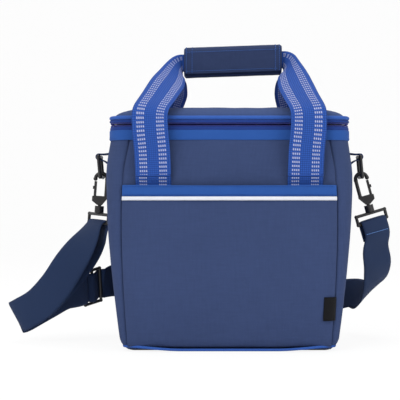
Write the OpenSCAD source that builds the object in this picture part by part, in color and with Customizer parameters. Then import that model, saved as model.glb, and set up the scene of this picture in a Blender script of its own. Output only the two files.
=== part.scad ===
// Insulated cooler bag: a soft box with a zipped lid, a front pocket, two carrying
// handles held together by a padded grip, and a shoulder strap on two swivel hooks.
// Millimetres. +Z is up, +X is to the right seen from the front, the front faces -Y,
// and the origin is the centre of the base, on the ground.

/* [Body] */
// Width at the widest place of the walls
body_w = 266; // [230:1:300]
// Width at the base
base_w = 232; // [220:1:284]
// Width at the mouth and the lid
mouth_w = 257; // [225:1:290]
// Depth from front to back
body_d = 180; // [150:1:220]
// Height of the widest place of the walls
shoulder_z = 195; // [186:1:204]
// Height of the lower edge of the top binding
rim_z = 226; // [218:1:236]
// Height of the top binding
band_h = 11; // [9:1:18]
// Radius of the upright corners at the mouth
corner_round = 22; // [19:1:28]
// Radius of the upright corners at the base
base_corner = 8; // [6:0.5:22]
// Radius of the lower edge
base_round = 15; // [13:1:17]

/* [Layers] */
// Thickness of the outer fabric
skin_t = 1.2; // [0.8:0.1:1.6]
// Thickness of the insulating foam
foam_t = 6; // [4:0.5:8]
// Thickness of the inner liner
liner_t = 1; // [0.6:0.1:1.4]
// Clearance between one layer and the next
ply_gap = 0.2; // [0.1:0.05:0.3]
// Radius of the base piping
base_pipe_r = 1.7; // [1.2:0.1:2.2]
// Thickness of the stiffening board in the base
board_t = 2; // [1:0.5:3]
// Play all round the stiffening board
board_play = 2.5; // [1:0.5:5]

/* [Lid and zip] */
// Height of the lid crown above its edge
crown_h = 14; // [8:1:18]
// Radius of the lid piping
lid_pipe_r = 2.1; // [1.6:0.1:2.5]
// Width of each woven zip tape that shows
tape_w = 5.6; // [4:0.2:6.4]
// Height of each row of the zip coil
coil_h = 1.3; // [1:0.1:1.6]
// Gap between the two rows of the zip coil
coil_gap = 1.1; // [1:0.1:1.4]
// Length of the zip slider
slider_l = 12; // [9:0.5:15]
// Length of the zip pull
pull_l = 24; // [16:1:32]
// Distance of the parked zip slider behind the middle of the side
slider_y = 50; // [40:1:56]

/* [Front pocket] */
// Height of the pocket mouth
pocket_z = 178; // [168:1:182]
// Height of the hem band
hem_h = 12; // [8:1:15]
// Thickness of the hem band
hem_t = 1.8; // [1.4:0.1:2.2]
// Height of the piping under the hem
pocket_pipe_h = 4.2; // [3:0.2:5]
// Depth of the pocket
pocket_depth = 7; // [6.5:0.25:9]
// Width of the sewn label
label_w = 13; // [9:0.5:16]
// Height of the sewn label
label_h = 25; // [18:1:32]
// Height of the middle of the sewn label
label_z = 46; // [34:1:80]

/* [Handles] */
// Width of the handle webbing
web_w = 38; // [30:1:42]
// Thickness of the webbing
web_t = 1.6; // [1.2:0.1:2]
// Distance from the middle to each handle leg
leg_x = 81; // [74:1:86]
// Height at which a handle leg leaves its anchor
swing_z = 188; // [186:0.5:192]
// Height of the middle of the grip
grip_z = 320; // [312:1:330]
// Length of the grip
grip_l = 111; // [90:1:120]
// Height of the grip
grip_h = 34; // [32:1:38]
// Depth of the grip
grip_d = 21; // [20:0.5:25]
// Offset of the grip from the middle
grip_shift = 4; // [0:0.5:5]
// Length of each anchor that lies on the wall
anchor_l = 57; // [45:1:80]
// How far a handle leg bows out
leg_bow = 9.5; // [6:0.5:11]

/* [Strap hardware] */
// Width of the side tab webbing
tab_w = 25; // [20:1:28]
// Height of the side tab axis
tab_z = 211; // [205:1:216]
// Distance from the wall to the tab axis
tab_out = 15; // [13:0.5:20]
// Length of the side tab webbing under its axis
tab_l = 40; // [34:1:60]
// Drop of the plastic ring from its upper bar to its lower bar
ring_drop = 23; // [21:0.5:27]
// Radius of the ring bars
ring_r = 1.9; // [1.6:0.1:2]
// Radius of the bow of the hook, at the middle of its thickness
claw_r = 6.6; // [6.4:0.1:7.2]
// Radius of the hook's round section
hook_r = 2.1; // [1.8:0.1:2.2]
// Length of the hook from the ring bar to the swivel
hook_l = 33; // [31:0.5:36]
// Radius of the swivel barrel
barrel_r = 5.2; // [5:0.1:6]
// Height of the swivel barrel
barrel_h = 8; // [7.5:0.1:9]
// Height of the loop that holds the strap, from bar to bar
loop_h = 9.6; // [9:0.2:12]
// Width of the shoulder strap
strap_w = 38; // [30:1:39]
// Thickness of the shoulder strap
strap_t = 1.6; // [1.2:0.1:1.8]
// Radius of the bars that hold the strap
strap_bar_r = 1.8; // [1.6:0.1:2]
// Distance between the bars of the strap adjuster
adjuster_pitch = 10.5; // [10:0.5:13]

/* [Hidden] */

// Colours
NAVY = [0.20, 0.27, 0.42];
BLUE = [0.16, 0.36, 0.70];
DARK_BLUE = [0.13, 0.20, 0.36];
BLACK = [0.13, 0.13, 0.14];
WHITE = [0.95, 0.95, 0.96];
SILVER = [0.78, 0.80, 0.82];

// Places worked out from the driving sizes
corner_steps = 6;
base_steps = 5;
pipe_reach = base_round + base_pipe_r + ply_gap / 2;
pipe_angle = acos((base_round - base_pipe_r - 0.4) / pipe_reach);
half_d = body_d / 2;
rim_top = rim_z + band_h;
skin_top = rim_top - 2;
foam_top = skin_top - liner_t - 2 * ply_gap;
foam_in = skin_t + ply_gap;
liner_in = foam_in + foam_t + ply_gap;
tape_t = 0.8;
tape_top = skin_top + tape_w + ply_gap;
coil_low = tape_top + ply_gap / 2;
coil_high = coil_low + coil_h + coil_gap;
upper_tape_z = coil_high + coil_h + ply_gap / 2;
pipe_z = upper_tape_z + 0.6 * tape_w + lid_pipe_r;
lid_floor_z = coil_high + coil_h + 0.5;
lid_edge_z = pipe_z - lid_pipe_r / 2;
hinge_y = half_d - 0.5;
hinge_z = (skin_top + pipe_z - lid_pipe_r) / 2 + 1;
hem_z = pocket_z - hem_h;
leg_y = half_d + 6.5;
lid_inset = lid_pipe_r + 1.1;
pull_out = 5.1;
pull_z = coil_low + coil_h + coil_gap / 2 - 0.6;
seat = 0.35;
pin_r = 1.2;

// ---- Functions ---------------------------------------------------------------

function mix(a, b, k) = a + (b - a) * k;

function unit(v) = v / norm(v);

function turned(v, a) = [v.x * cos(a) + v.z * sin(a), v.y, v.z * cos(a) - v.x * sin(a)];

// Half the width of the walls at a height
function half_w(z) =
    z <= shoulder_z ? mix(base_w, body_w, sin(90 * z / shoulder_z)) / 2 :
    z >= rim_z ? mouth_w / 2 :
    mix(body_w, mouth_w, (z - shoulder_z) / (rim_z - shoulder_z)) / 2;

// Points along an arc
function arc(cx, cy, r, a0, a1, steps = corner_steps) =
    [for (i = [0:steps]) let (a = mix(a0, a1, i / steps)) [cx + r * cos(a), cy + r * sin(a)]];

// A rectangle with round corners, counter-clockwise
function rounded(a, b, r) = concat(
    arc(a - r, -b + r, r, -90, 0), arc(a - r, b - r, r, 0, 90),
    arc(-a + r, b - r, r, 90, 180), arc(-a + r, -b + r, r, 180, 270));

// A corner's radius at an inset from the outer surface and at a height
function corner(inset, z = rim_z) =
    max(mix(base_corner, corner_round, min(z / rim_z, 1)) - inset, 1);

// Height and inset of a level of the walls, at a depth under the outer surface.
// The first levels follow the round lower edge and the others are at the heights.
function level(k, depth, heights) =
    k > base_steps ? [heights[k - base_steps - 1], depth] :
    let (a = 90 * k / base_steps, r = base_round - depth)
    [base_round - r * cos(a), base_round - r * sin(a)];

function levels(depth, heights) =
    [for (k = [0:base_steps + len(heights)]) level(k, depth, heights)];

// The whole outline at a height and an inset
function ring(z, inset) =
    [for (p = rounded(half_w(z) - inset, half_d - inset, corner(inset, z))) [p.x, p.y, z]];

// The right-hand side of the outline, from its front seam to its back seam
function side_run(z, inset) =
    let (a = half_w(z) - inset, b = half_d - inset, r = corner(inset, z))
    [for (p = concat(arc(a - r, -b + r, r, -90, 0), arc(a - r, b - r, r, 0, 90))) [p.x, p.y, z]];

// The front of the outline, from its left seam to its right seam
function front_run(z, inset) =
    let (x = half_w(z) - inset - corner(inset, z), y = -half_d + inset)
    [[-x, y, z], [x, y, z]];

// The run of the zip: the left side, the front and the right side
function mouth_run(z, inset) =
    let (a = mouth_w / 2 - inset, b = half_d - inset, r = corner(inset), back = half_d - corner_round)
    [for (p = concat([[-a, back]], arc(-a + r, -b + r, r, 180, 270),
        arc(a - r, -b + r, r, 270, 360), [[a, back]])) [p.x, p.y, z]];

function backwards(list) = [for (i = [len(list) - 1:-1:0]) list[i]];

function behind(list) = [for (p = list) [-p.x, -p.y, p.z]];

// Smooth curve through points that may carry more than three numbers each
function curve(points, steps) = concat([for (i = [0:len(points) - 2], k = [0:steps - 1])
    let (p0 = points[max(i - 1, 0)], p1 = points[i], p2 = points[i + 1],
        p3 = points[min(i + 2, len(points) - 1)], t = k / steps)
    (2 * p1 + (p2 - p0) * t + (2 * p0 - 5 * p1 + 4 * p2 - p3) * pow(t, 2)
        + (3 * p1 - 3 * p2 + p3 - p0) * pow(t, 3)) / 2], [points[len(points) - 1]]);

function quad(a, b, c, d) = [[a, b, c], [a, c, d]];

// ---- Shared shapes -----------------------------------------------------------

// A solid through a row of rings of points. Its ends are flat, or a strip between the
// two halves of each ring, or joined to one another.
module loft(rings, ends = "flat") {
    n = len(rings[0]);
    m = len(rings);
    top = (m - 1) * n;
    half = n / 2;
    sides = [for (r = [0:ends == "joined" ? m - 1 : m - 2], c = [0:n - 1])
        let (up = (r + 1) % m, on = (c + 1) % n)
        each c < n - 1 ? quad(r * n + c, up * n + c, up * n + on, r * n + on) :
            quad(up * n + c, up * n + on, r * n + on, r * n + c)];
    flat = [[for (c = [0:n - 1]) c], [for (c = [n - 1:-1:0]) top + c]];
    strip = [for (c = [0:half - 2]) each concat(
        quad(c, c + 1, n - 2 - c, n - 1 - c),
        quad(top + c, top + n - 1 - c, top + n - 2 - c, top + c + 1))];
    caps = ends == "flat" ? flat : ends == "strip" ? strip : [];
    polyhedron([for (r = rings) each r], concat(sides, caps), convexity = 8);
}

// A sheet between two depths under the outer surface, over one run of the outline
module wall(run, depth, thick, heights) {
    outer = [for (s = levels(depth, heights)) run(s[0], s[1])];
    inner = [for (s = levels(depth + thick, heights)) run(s[0], s[1])];
    loft([for (k = [0:len(outer) - 1]) concat(outer[k], backwards(inner[k]))], "strip");
}

// A straight-sided band round part of the mouth
module mouth_band(z0, z1, depth, thick) {
    loft([for (z = [z0, z1]) concat(mouth_run(z, depth), backwards(mouth_run(z, depth + thick)))],
        "strip");
}

// Round piping along the whole outline
module piping(z, inset, r) {
    loft([for (i = [0:7]) let (a = 45 * i) ring(z + r * sin(a), inset - r * cos(a))], "joined");
}

// Flat webbing along a path, from one of its points to another. Each point of the path
// holds its place, the direction of the webbing's width, its width and its thickness.
module ribbon(path, first = 0, last = undef) {
    end = len(path) - 1;
    places = [for (p = path) [p[0], p[1], p[2]]];
    loft([for (i = [first:is_undef(last) ? end : last])
        let (along = unit(places[min(i + 1, end)] - places[max(i - 1, 0)]),
            wide = [path[i][3], path[i][4], path[i][5]],
            across = unit(wide - (wide * along) * along) * path[i][6] / 2,
            out = unit(cross(along, across)) * path[i][7] / 2)
        [places[i] - across - out, places[i] + across - out,
            places[i] + across + out, places[i] - across + out]]);
}

module rod(a, b, r) {
    v = b - a;
    translate(a)
        rotate([0, acos(v.z / norm(v)), atan2(v.y, v.x)])
            cylinder(h = norm(v), r = r, $fn = 24);
}

module mirrored() {
    children();
    mirror([1, 0, 0])
        children();
}

// A flat shape drawn in Y and Z, given a length along X
module along_x(length) {
    translate([-length / 2, 0, 0])
        rotate([90, 0, 90])
            linear_extrude(length)
                children();
}

// ---- Walls and base ----------------------------------------------------------

skin_heights = [shoulder_z / 2, shoulder_z, rim_z, skin_top];
foam_heights = [shoulder_z / 2, shoulder_z, rim_z, foam_top];

module front_panel() {
    color(NAVY)
        wall(function (z, inset) front_run(z, inset), 0, skin_t, skin_heights);
}

module back_panel() {
    color(NAVY)
        wall(function (z, inset) behind(front_run(z, inset)), 0, skin_t, skin_heights);
}

module side_panel_right() {
    color(NAVY)
        wall(function (z, inset) side_run(z, inset), 0, skin_t, skin_heights);
}

module side_panel_left() {
    color(NAVY)
        wall(function (z, inset) behind(side_run(z, inset)), 0, skin_t, skin_heights);
}

// A flat layer of the base, at a depth under the outer surface
module base_layer(depth, thick) {
    inset = base_round + ply_gap;
    translate([0, 0, depth])
        linear_extrude(thick)
            polygon(rounded(base_w / 2 - inset, half_d - inset, corner(inset, 0)));
}

module base_panel() {
    color(NAVY)
        base_layer(0, skin_t);
}

module base_piping() {
    color(BLUE)
        piping(base_pipe_r + 0.4, base_round - pipe_reach * sin(pipe_angle), base_pipe_r);
}

module foam_front() {
    color(WHITE)
        wall(function (z, inset) front_run(z, inset), foam_in, foam_t, foam_heights);
}

module foam_back() {
    color(WHITE)
        wall(function (z, inset) behind(front_run(z, inset)), foam_in, foam_t, foam_heights);
}

module foam_right() {
    color(WHITE)
        wall(function (z, inset) side_run(z, inset), foam_in, foam_t, foam_heights);
}

module foam_left() {
    color(WHITE)
        wall(function (z, inset) behind(side_run(z, inset)), foam_in, foam_t, foam_heights);
}

module foam_base() {
    color(WHITE)
        base_layer(foam_in, foam_t);
}

// The heat-sealed liner: a floor, four walls and a lip over the top of the foam
module inner_liner() {
    lip_low = skin_top - liner_t;
    outer = levels(liner_in, [shoulder_z / 2, shoulder_z, rim_z, lip_low]);
    inner = levels(liner_in + liner_t, [shoulder_z / 2, shoulder_z, rim_z, skin_top]);
    color(SILVER)
        loft(concat([for (s = outer) ring(s[0], s[1])],
            [ring(lip_low, foam_in), ring(skin_top, foam_in)],
            [for (s = backwards(inner)) ring(s[0], s[1])]));
}

// The removable board that keeps the floor flat
module base_board() {
    floor_z = liner_in + liner_t + ply_gap;
    inset = base_round + board_play - 1;
    color(DARK_BLUE)
        translate([0, 0, floor_z])
            linear_extrude(board_t)
                polygon(rounded(half_w(floor_z) - inset, half_d - inset, corner(inset, floor_z)));
}

module top_band() {
    color(BLUE)
        loft([ring(rim_z, -skin_t - ply_gap), ring(rim_top, -skin_t - ply_gap),
            ring(rim_top, -ply_gap), ring(rim_z, -ply_gap)], "joined");
}

// ---- Zip ---------------------------------------------------------------------

module zip_tape_lower() {
    color(BLUE)
        mouth_band(skin_top + ply_gap, tape_top, 0, tape_t);
}

module zip_coil_lower() {
    color(DARK_BLUE)
        mouth_band(coil_low, coil_low + coil_h, -0.4, tape_t + 0.8);
}

module zip_coil_upper() {
    color(DARK_BLUE)
        mouth_band(coil_high, coil_high + coil_h, -0.4, tape_t + 0.8);
}

module zip_tape_upper() {
    color(BLUE)
        mouth_band(upper_tape_z, upper_tape_z + 0.6 * tape_w - ply_gap / 2, 0, tape_t);
}

// A stop at each end of the lower row
module zip_stops() {
    stop_l = 3;
    color(SILVER)
        mirrored()
            translate([mouth_w / 2 - tape_t - 0.4, half_d - corner_round + ply_gap, coil_low])
                cube([tape_t + 0.8, stop_l, coil_h]);
}

// Two plates each side of the tape, with a post between the rows of the coil and a
// lip under the lower row
module zip_slider() {
    plate_t = 1.4;
    gap_out = 1.5;
    gap_in = tape_t + 1.2;
    x = mouth_w / 2;
    low = rim_top + 0.6;
    post_l = 3;
    post_h = coil_gap - 0.6;
    lip_h = coil_low - 0.3 - low;
    color(BLACK) {
        translate([x + gap_out, slider_y - slider_l / 2, low])
            cube([plate_t, slider_l, coil_high + coil_h + 1 - low]);
        translate([x - gap_in - plate_t, slider_y - slider_l / 2, low])
            cube([plate_t, slider_l, coil_high + coil_h - low]);
        translate([x - gap_in - 0.1, slider_y + slider_l / 2 - post_l, coil_low + coil_h + 0.3])
            cube([gap_in + gap_out + 0.2, post_l, post_h]);
        translate([x + 0.3, slider_y - slider_l / 2, low])
            cube([gap_out - 0.2, slider_l, lip_h]);
        // Two ears that carry the pull, with its pin
        for (z = [pull_z - 2.9, pull_z + 1.7])
            translate([x + gap_out + plate_t - 0.1, slider_y - 2, z])
                cube([pull_out - gap_out - plate_t + 1.1, 4, 1.2]);
        translate([x + pull_out, slider_y, pull_z - 2])
            cylinder(h = 4, r = 0.7, $fn = 24);
    }
}

module zip_pull() {
    color(BLACK)
        translate([mouth_w / 2 + pull_out, slider_y, pull_z])
            difference() {
                union() {
                    translate([0, 0, -1.3])
                        cylinder(h = 2.6, r = 1.8, $fn = 32);
                    translate([-0.7, 1.2, -1.3])
                        cube([1.4, 6, 2.6]);
                    translate([-0.7, 7, 0])
                        rotate([90, 0, 90])
                            linear_extrude(1.4)
                                polygon([for (p = rounded((pull_l - 7) / 2, 3.2, 2))
                                    [p.x + (pull_l - 7) / 2, p.y]]);
                }
                translate([0, 0, -2])
                    cylinder(h = 4, r = 1, $fn = 32);
            }
}

// ---- Lid ---------------------------------------------------------------------

// Outline of the lid, shrunk towards its middle
function lid_ring(z, inset, scale) =
    [for (p = rounded(mouth_w / 2 - inset, half_d - inset, corner(inset)))
        [p.x * scale, p.y * scale, z]];

// Rings of the domed top, rising from its edge
function crown(inset, edge_z, rise) =
    [for (s = [1, 0.995, 0.98, 0.95, 0.9, 0.8, 0.65, 0.4])
        lid_ring(edge_z + rise * sqrt(1 - pow(s, 6)), inset, s)];

module lid_top() {
    outer = crown(lid_inset, lid_edge_z, crown_h);
    inner = crown(lid_inset + skin_t, lid_edge_z, crown_h - skin_t);
    color(NAVY)
        loft(concat(backwards(inner), outer), "flat");
}

module lid_foam() {
    edge = lid_inset + skin_t + ply_gap;
    color(WHITE)
        loft(concat([lid_ring(lid_floor_z + liner_t + ply_gap, edge, 1)],
            crown(edge, lid_edge_z, crown_h - skin_t - ply_gap)));
}

module lid_liner() {
    inset = tape_t + 0.4;
    color(SILVER)
        translate([0, 0, lid_floor_z])
            linear_extrude(liner_t)
                polygon(rounded(mouth_w / 2 - inset, half_d - inset, corner(inset)));
}

module lid_piping() {
    color(BLUE)
        piping(pipe_z, tape_t / 2, lid_pipe_r);
}

// The fold of fabric that joins the lid to the back wall, with a cord in its fold
module lid_hinge_band() {
    low = skin_top + ply_gap;
    high = pipe_z - lid_pipe_r - ply_gap;
    width = mouth_w - 2 * corner_round;
    color(NAVY) {
        translate([-width / 2, half_d - tape_t - 0.1, low])
            cube([width, tape_t, high - low]);
        translate([-width / 2, hinge_y, hinge_z])
            rotate([0, 90, 0])
                cylinder(h = width, r = 0.9, $fn = 32);
    }
}

// ---- Front pocket ------------------------------------------------------------

pocket_columns = [-1, -0.97, -0.93, -0.86, -0.7, -0.35, 0, 0.35, 0.7, 0.86, 0.93, 0.97, 1];

// How far the pocket stands off the wall, by its place across and up the wall
function pocket_off(across, z) =
    ply_gap + pocket_depth * (1 - pow(across, 12)) * (1 - pow(1 - min(z / hem_z, 1), 6));

// A row of points across the front, off the wall by the pocket's depth and more
function pocket_row(k, more, heights) = [for (c = pocket_columns)
    let (flat = level(k, 0, heights), s = level(k, -pocket_off(c, flat[0]) - more, heights),
        x = half_w(s[0]) - corner(0, s[0]))
    [x * c, -half_d + s[1], s[0]]];

// A sheet that follows the pocket, from one level to another
module pocket_sheet(k0, k1, more, thick, heights) {
    loft([for (k = [k0:k1])
        concat(pocket_row(k, more + thick, heights), backwards(pocket_row(k, more, heights)))],
        "strip");
}

module front_pocket() {
    heights = [hem_z / 2, hem_z - ply_gap];
    color(NAVY)
        pocket_sheet(3, base_steps + 2, 0, skin_t, heights);
}

module pocket_hem() {
    color(BLUE)
        pocket_sheet(base_steps + 1, base_steps + 2, 0, hem_t, [hem_z, pocket_z]);
}

module pocket_piping() {
    z = hem_z - pocket_pipe_h / 2 - ply_gap;
    heights = [for (i = [0:7]) z + pocket_pipe_h / 2 * sin(45 * i)];
    rows = [for (i = [0:7])
        pocket_row(base_steps + 1 + i, skin_t + 1.3 - 1.2 * cos(45 * i), heights)];
    color(WHITE)
        loft([for (c = [0:len(pocket_columns) - 1]) [for (i = [0:7]) rows[i][c]]]);
}

// A folded label caught in the right-hand pocket seam
module label_tab() {
    off = skin_t + 0.4;
    edge = half_w(label_z) - corner(0, label_z);
    places = [for (x = [edge + 2, edge - label_w / 3, edge + 2 - label_w])
        [x, -half_d - off - pocket_off(min(x / edge, 1), label_z), label_z, 0.1, 0, 1, label_h, 0.9]];
    color(BLACK)
        ribbon(places);
}

// ---- Handles -----------------------------------------------------------------

// One anchor: the end of the webbing sewn to the wall, then leaning out over the hem to
// meet the fold that the handle swings on
module anchor() {
    flat_y = half_d + web_t / 2 + ply_gap;
    lean_l = 15;
    flat_top = [flat_y, swing_z - lean_l];
    lean = [flat_y + 0.6, swing_z - lean_l / 2];
    fold = [leg_y, swing_z];
    meet = fold - (pin_r + seat) * unit(fold - lean);
    color(BLUE)
        mirrored()
            ribbon([for (p = [flat_top - [0, anchor_l], flat_top, lean, meet])
                [leg_x, -p[0], p[1], 1, 0, 0, web_w, web_t]]);
}

module handle_anchors_front() {
    anchor();
}

module handle_anchors_back() {
    mirror([0, 1, 0])
        anchor();
}

// One leg of the front handle's webbing, from its swing axis to the middle of the grip, on
// the right (side 1) or mirrored from the left (side -1), where the grip ends nearer
run_y = 3;
run_w = web_w / 2;

function leg(side) =
    let (run_end = grip_l / 2 + side * grip_shift + 0.8,
        // Rows of how far it bows to the side and to the front, as shares of the bow, and of
        // height, as a share of the whole height
        lower = [for (p = [[0, 0, 0], [0.08, 0.68, 0.2], [0.3, 1, 0.386], [0.25, 0.63, 0.53]])
            [leg_x + p[0] * leg_bow, -leg_y - p[1] * leg_bow, mix(swing_z, grip_z, p[2]),
                1, 0, 0, web_w, web_t]],
        // Rows of place across, shares of the half depth and of the height, the direction of
        // the width, and width and thickness as shares of the webbing's
        upper = [for (p = [[mix(leg_x, run_end, 0.2), 0.89, 0.658, [1, 0.15, 0.2], 1, 1],
            [mix(leg_x, run_end, 0.47), 0.61, 0.778, [0.92, 0.2, 0.4], 0.97, 1],
            [mix(leg_x, run_end, 0.64), 0.33, 0.881, [0.75, 0.25, 0.65], 0.8, 1.2],
            [run_end + 7.4, 0.14, 0.96, [0.4, 0.12, 0.9], 0.6, 1.5],
            [run_end + 3.8, 0.052, 0.995, [0.1, 0, 1], 0.52, 1.8]])
            concat([p[0], -p[1] * half_d, mix(swing_z, grip_z, p[2])], p[3],
                [p[4] * web_w, p[5] * web_t])],
        inside = [for (x = [run_end, run_end - 8, 0])
            [x, -run_y, grip_z, 0, 0, 1, run_w, 2 * web_t]])
    curve(concat(lower, upper, inside), 4);

module handle() {
    left = [for (p = backwards(leg(-1))) [-p[0], p[1], p[2], -p[3], p[4], p[5], p[6], p[7]]];
    whole = concat(leg(1), [for (i = [1:len(left) - 1]) left[i]]);
    color(BLUE) {
        ribbon(whole);
        mirrored()
            translate([leg_x - web_w / 2, -leg_y, swing_z])
                rotate([0, 90, 0])
                    cylinder(h = web_w, r = pin_r, $fn = 32);
    }
}

module handle_front() {
    handle();
}

module handle_back() {
    mirror([0, 1, 0])
        handle();
}

// Section of the padded grip: a rounded rectangle in Y and Z, about the middle of the grip
function grip_section(shrink, r) =
    [for (p = rounded(grip_d / 2 - shrink, grip_h / 2 - shrink, r)) [p.x, p.y + grip_z]];

pad_t = 2.6;
pad_front = grip_d / 2 - pad_t;
cavity_y = run_y + web_t + 0.8;
cavity_h = run_w + 1.4;
cavity_low = grip_z - cavity_h / 2;
flap_axis = [grip_d / 2 - pad_t, grip_z + grip_h / 2 - pad_t];

// The padded back and underside of the grip, sewn to the back handle
module grip_wrap() {
    color(NAVY)
        translate([grip_shift, 0, 0])
            along_x(grip_l)
                difference() {
                    polygon(grip_section(0, 6));
                    translate([-cavity_y, cavity_low])
                        square([2 * cavity_y, cavity_h]);
                    translate([-grip_d, cavity_low - 0.4])
                        square([grip_d + cavity_y - 0.5, grip_h]);
                    translate([-grip_d, cavity_low - 5])
                        square([grip_d - pad_front + 0.4, grip_h]);
                    translate([-1, flap_axis[1] - 3.1])
                        square([grip_d, grip_h]);
                }
}

// The padded flap over the top and the front of the grip, with a roll at its seam
module grip_flap() {
    color(NAVY)
        translate([grip_shift, 0, 0]) {
            along_x(grip_l)
                difference() {
                    polygon(grip_section(0, 6));
                    translate([-cavity_y, 0])
                        square([2 * cavity_y, cavity_low + cavity_h]);
                    translate([-pad_front, 0])
                        square([grip_d, cavity_low]);
                    translate([-grip_d, 0])
                        square([2 * grip_d, cavity_low - 4.5]);
                    translate([cavity_y - 1, 0])
                        square([grip_d, flap_axis[1] - 2.7]);
                }
            translate([-grip_l / 2, flap_axis[0], flap_axis[1]])
                rotate([0, 90, 0])
                    cylinder(h = grip_l, r = 2, $fn = 32);
        }
}

// ---- Strap hardware ----------------------------------------------------------

// Lean of each ring and of each hook, and the turn of its strap bar, left and right
ring_lean = [-5, 5];
hook_lean = [4, 15];
bar_turn = [55, 35];

tab_x = half_w(shoulder_z) + tab_out;

// Place of the lower ring bar on each side, in the frame of the right-hand side
function hook_place(i) = [tab_x, 0, tab_z] + ring_drop * [sin(ring_lean[i]), 0, -cos(ring_lean[i])];

// Draws the part of one side; the left-hand side is its mirror image
module on_side(i) {
    mirror([i == 0 ? 1 : 0, 0, 0])
        children();
}

// Webbing sewn to the side wall and looped round the ring's upper bar
module side_tab() {
    off = web_t / 2 + ply_gap;
    loop_r = ring_r + web_t / 2 + 0.4;
    loop = [for (a = [-100:25:100]) [tab_x + loop_r * cos(a), tab_z + loop_r * sin(a)]];
    // Rows of height, as a share of the length under the axis, and distance off the wall
    under = [for (p = [[-1, 0], [-0.63, 0], [-0.33, 0.6]])
        [half_w(tab_z + p[0] * tab_l) + off + p[1], tab_z + p[0] * tab_l]];
    over = [for (p = [[0.125, 0.8], [0.25, 0]])
        [half_w(tab_z + p[0] * tab_l) + off + p[1], tab_z + p[0] * tab_l]];
    near_x = tab_x - 0.47 * tab_out;
    route = concat(under, [[near_x, tab_z - 1.8 * loop_r]], loop, [[near_x, tab_z + loop_r]], over);
    color(NAVY)
        ribbon([for (p = route) [p[0], 0, p[1], 0, 1, 0, tab_w, web_t]]);
}

module side_tab_left() {
    on_side(0)
        side_tab();
}

module side_tab_right() {
    on_side(1)
        side_tab();
}

// A rectangular frame of round bars in X and Z, with its bars along X
module frame_of_bars(width, height, r) {
    for (z = [0, -height])
        rod([-width / 2, 0, z], [width / 2, 0, z], r);
    for (x = [-width / 2, width / 2])
        rod([x, 0, -height], [x, 0, 0], r);
    for (x = [-width / 2, width / 2], z = [0, -height])
        translate([x, 0, z])
            sphere(r + 0.3, $fn = 24);
}

module ring_of(i) {
    color(BLACK)
        on_side(i)
            translate([tab_x, 0, tab_z])
                rotate([0, -ring_lean[i], 0])
                    rotate([0, 0, 90])
                        frame_of_bars(tab_w + 2 * ring_r + 2, ring_drop, ring_r);
}

module ring_left() {
    ring_of(0);
}

module ring_right() {
    ring_of(1);
}

// Draws something in the frame of a hook: the ring bar at the origin along Y, and the
// hook hanging down along -Z
module on_hook(i) {
    on_side(i)
        translate(hook_place(i))
            rotate([0, -hook_lean[i], 0])
                children();
}

stem_r = hook_r - 0.2;
loop_top_z = -hook_l - barrel_h - 1.4;
strap_bar_z = loop_top_z - loop_h;

// The barrel that turns on the hook's stem, and the loop that holds the strap
module clip_of(i) {
    loop_w = strap_w + 2 * strap_bar_r + 3;
    color(BLACK)
        on_hook(i)
            rotate([0, 0, bar_turn[i]]) {
                difference() {
                    translate([0, 0, -hook_l - barrel_h])
                        cylinder(h = barrel_h, r = barrel_r, $fn = 48);
                    translate([0, 0, -hook_l - 3])
                        cylinder(h = 4, r = stem_r + 0.4, $fn = 48);
                    translate([0, 0, -hook_l - barrel_h + 1.6])
                        cylinder(h = barrel_h - 3.6, r = barrel_r - 1.4, $fn = 48);
                }
                translate([0, 0, loop_top_z])
                    frame_of_bars(loop_w, loop_h, strap_bar_r);
            }
}

module clip_left() {
    clip_of(0);
}

module clip_right() {
    clip_of(1);
}

gate_pivot = [claw_r - 0.6, -hook_l + 8.5];
claw_z = ring_r + seat - claw_r + hook_r;
claw_end_r = hook_r + 0.3;
gate_t = 2.8;
slot_w = gate_t + 0.6;
slot_r = 3.2;

// The hook: a bow, a spine, a slotted body with the gate's pin, and a headed stem
module hook_of(i) {
    body_top = gate_pivot[1] + 3;
    side_x = claw_r + hook_r;
    color(BLACK)
        on_hook(i) {
            translate([0, 0, claw_z])
                rotate([90, 0, 0])
                    rotate_extrude(angle = 180, $fn = 64)
                        translate([claw_r, 0])
                            circle(hook_r, $fn = 24);
            rod([-claw_r, 0, body_top - 2], [-claw_r, 0, claw_z], hook_r);
            for (x = [-claw_r, claw_r])
                translate([x, 0, claw_z])
                    sphere(claw_end_r, $fn = 24);
            difference() {
                translate([0, 3.2, 0])
                    rotate([90, 0, 0])
                        linear_extrude(6.4)
                            polygon([[-side_x, body_top - 2], [-2.5, -hook_l + 1], [2.5, -hook_l + 1],
                                [side_x, gate_pivot[1] - 3], [side_x, gate_pivot[1] + 2.4],
                                [side_x - 2, body_top], [-side_x, body_top]]);
                translate([gate_pivot[0] - slot_r, -slot_w / 2, gate_pivot[1] - slot_r])
                    cube([hook_l, slot_w, hook_l]);
            }
            rod([gate_pivot[0], -3, gate_pivot[1]], [gate_pivot[0], 3, gate_pivot[1]], 0.9);
            rod([0, 0, -hook_l - 4], [0, 0, -hook_l + 2], stem_r);
            translate([0, 0, -hook_l - barrel_h + 2])
                cylinder(h = barrel_h - 5, r = barrel_r - 1.8, $fn = 48);
        }
}

module hook_left() {
    hook_of(0);
}

module hook_right() {
    hook_of(1);
}

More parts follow.
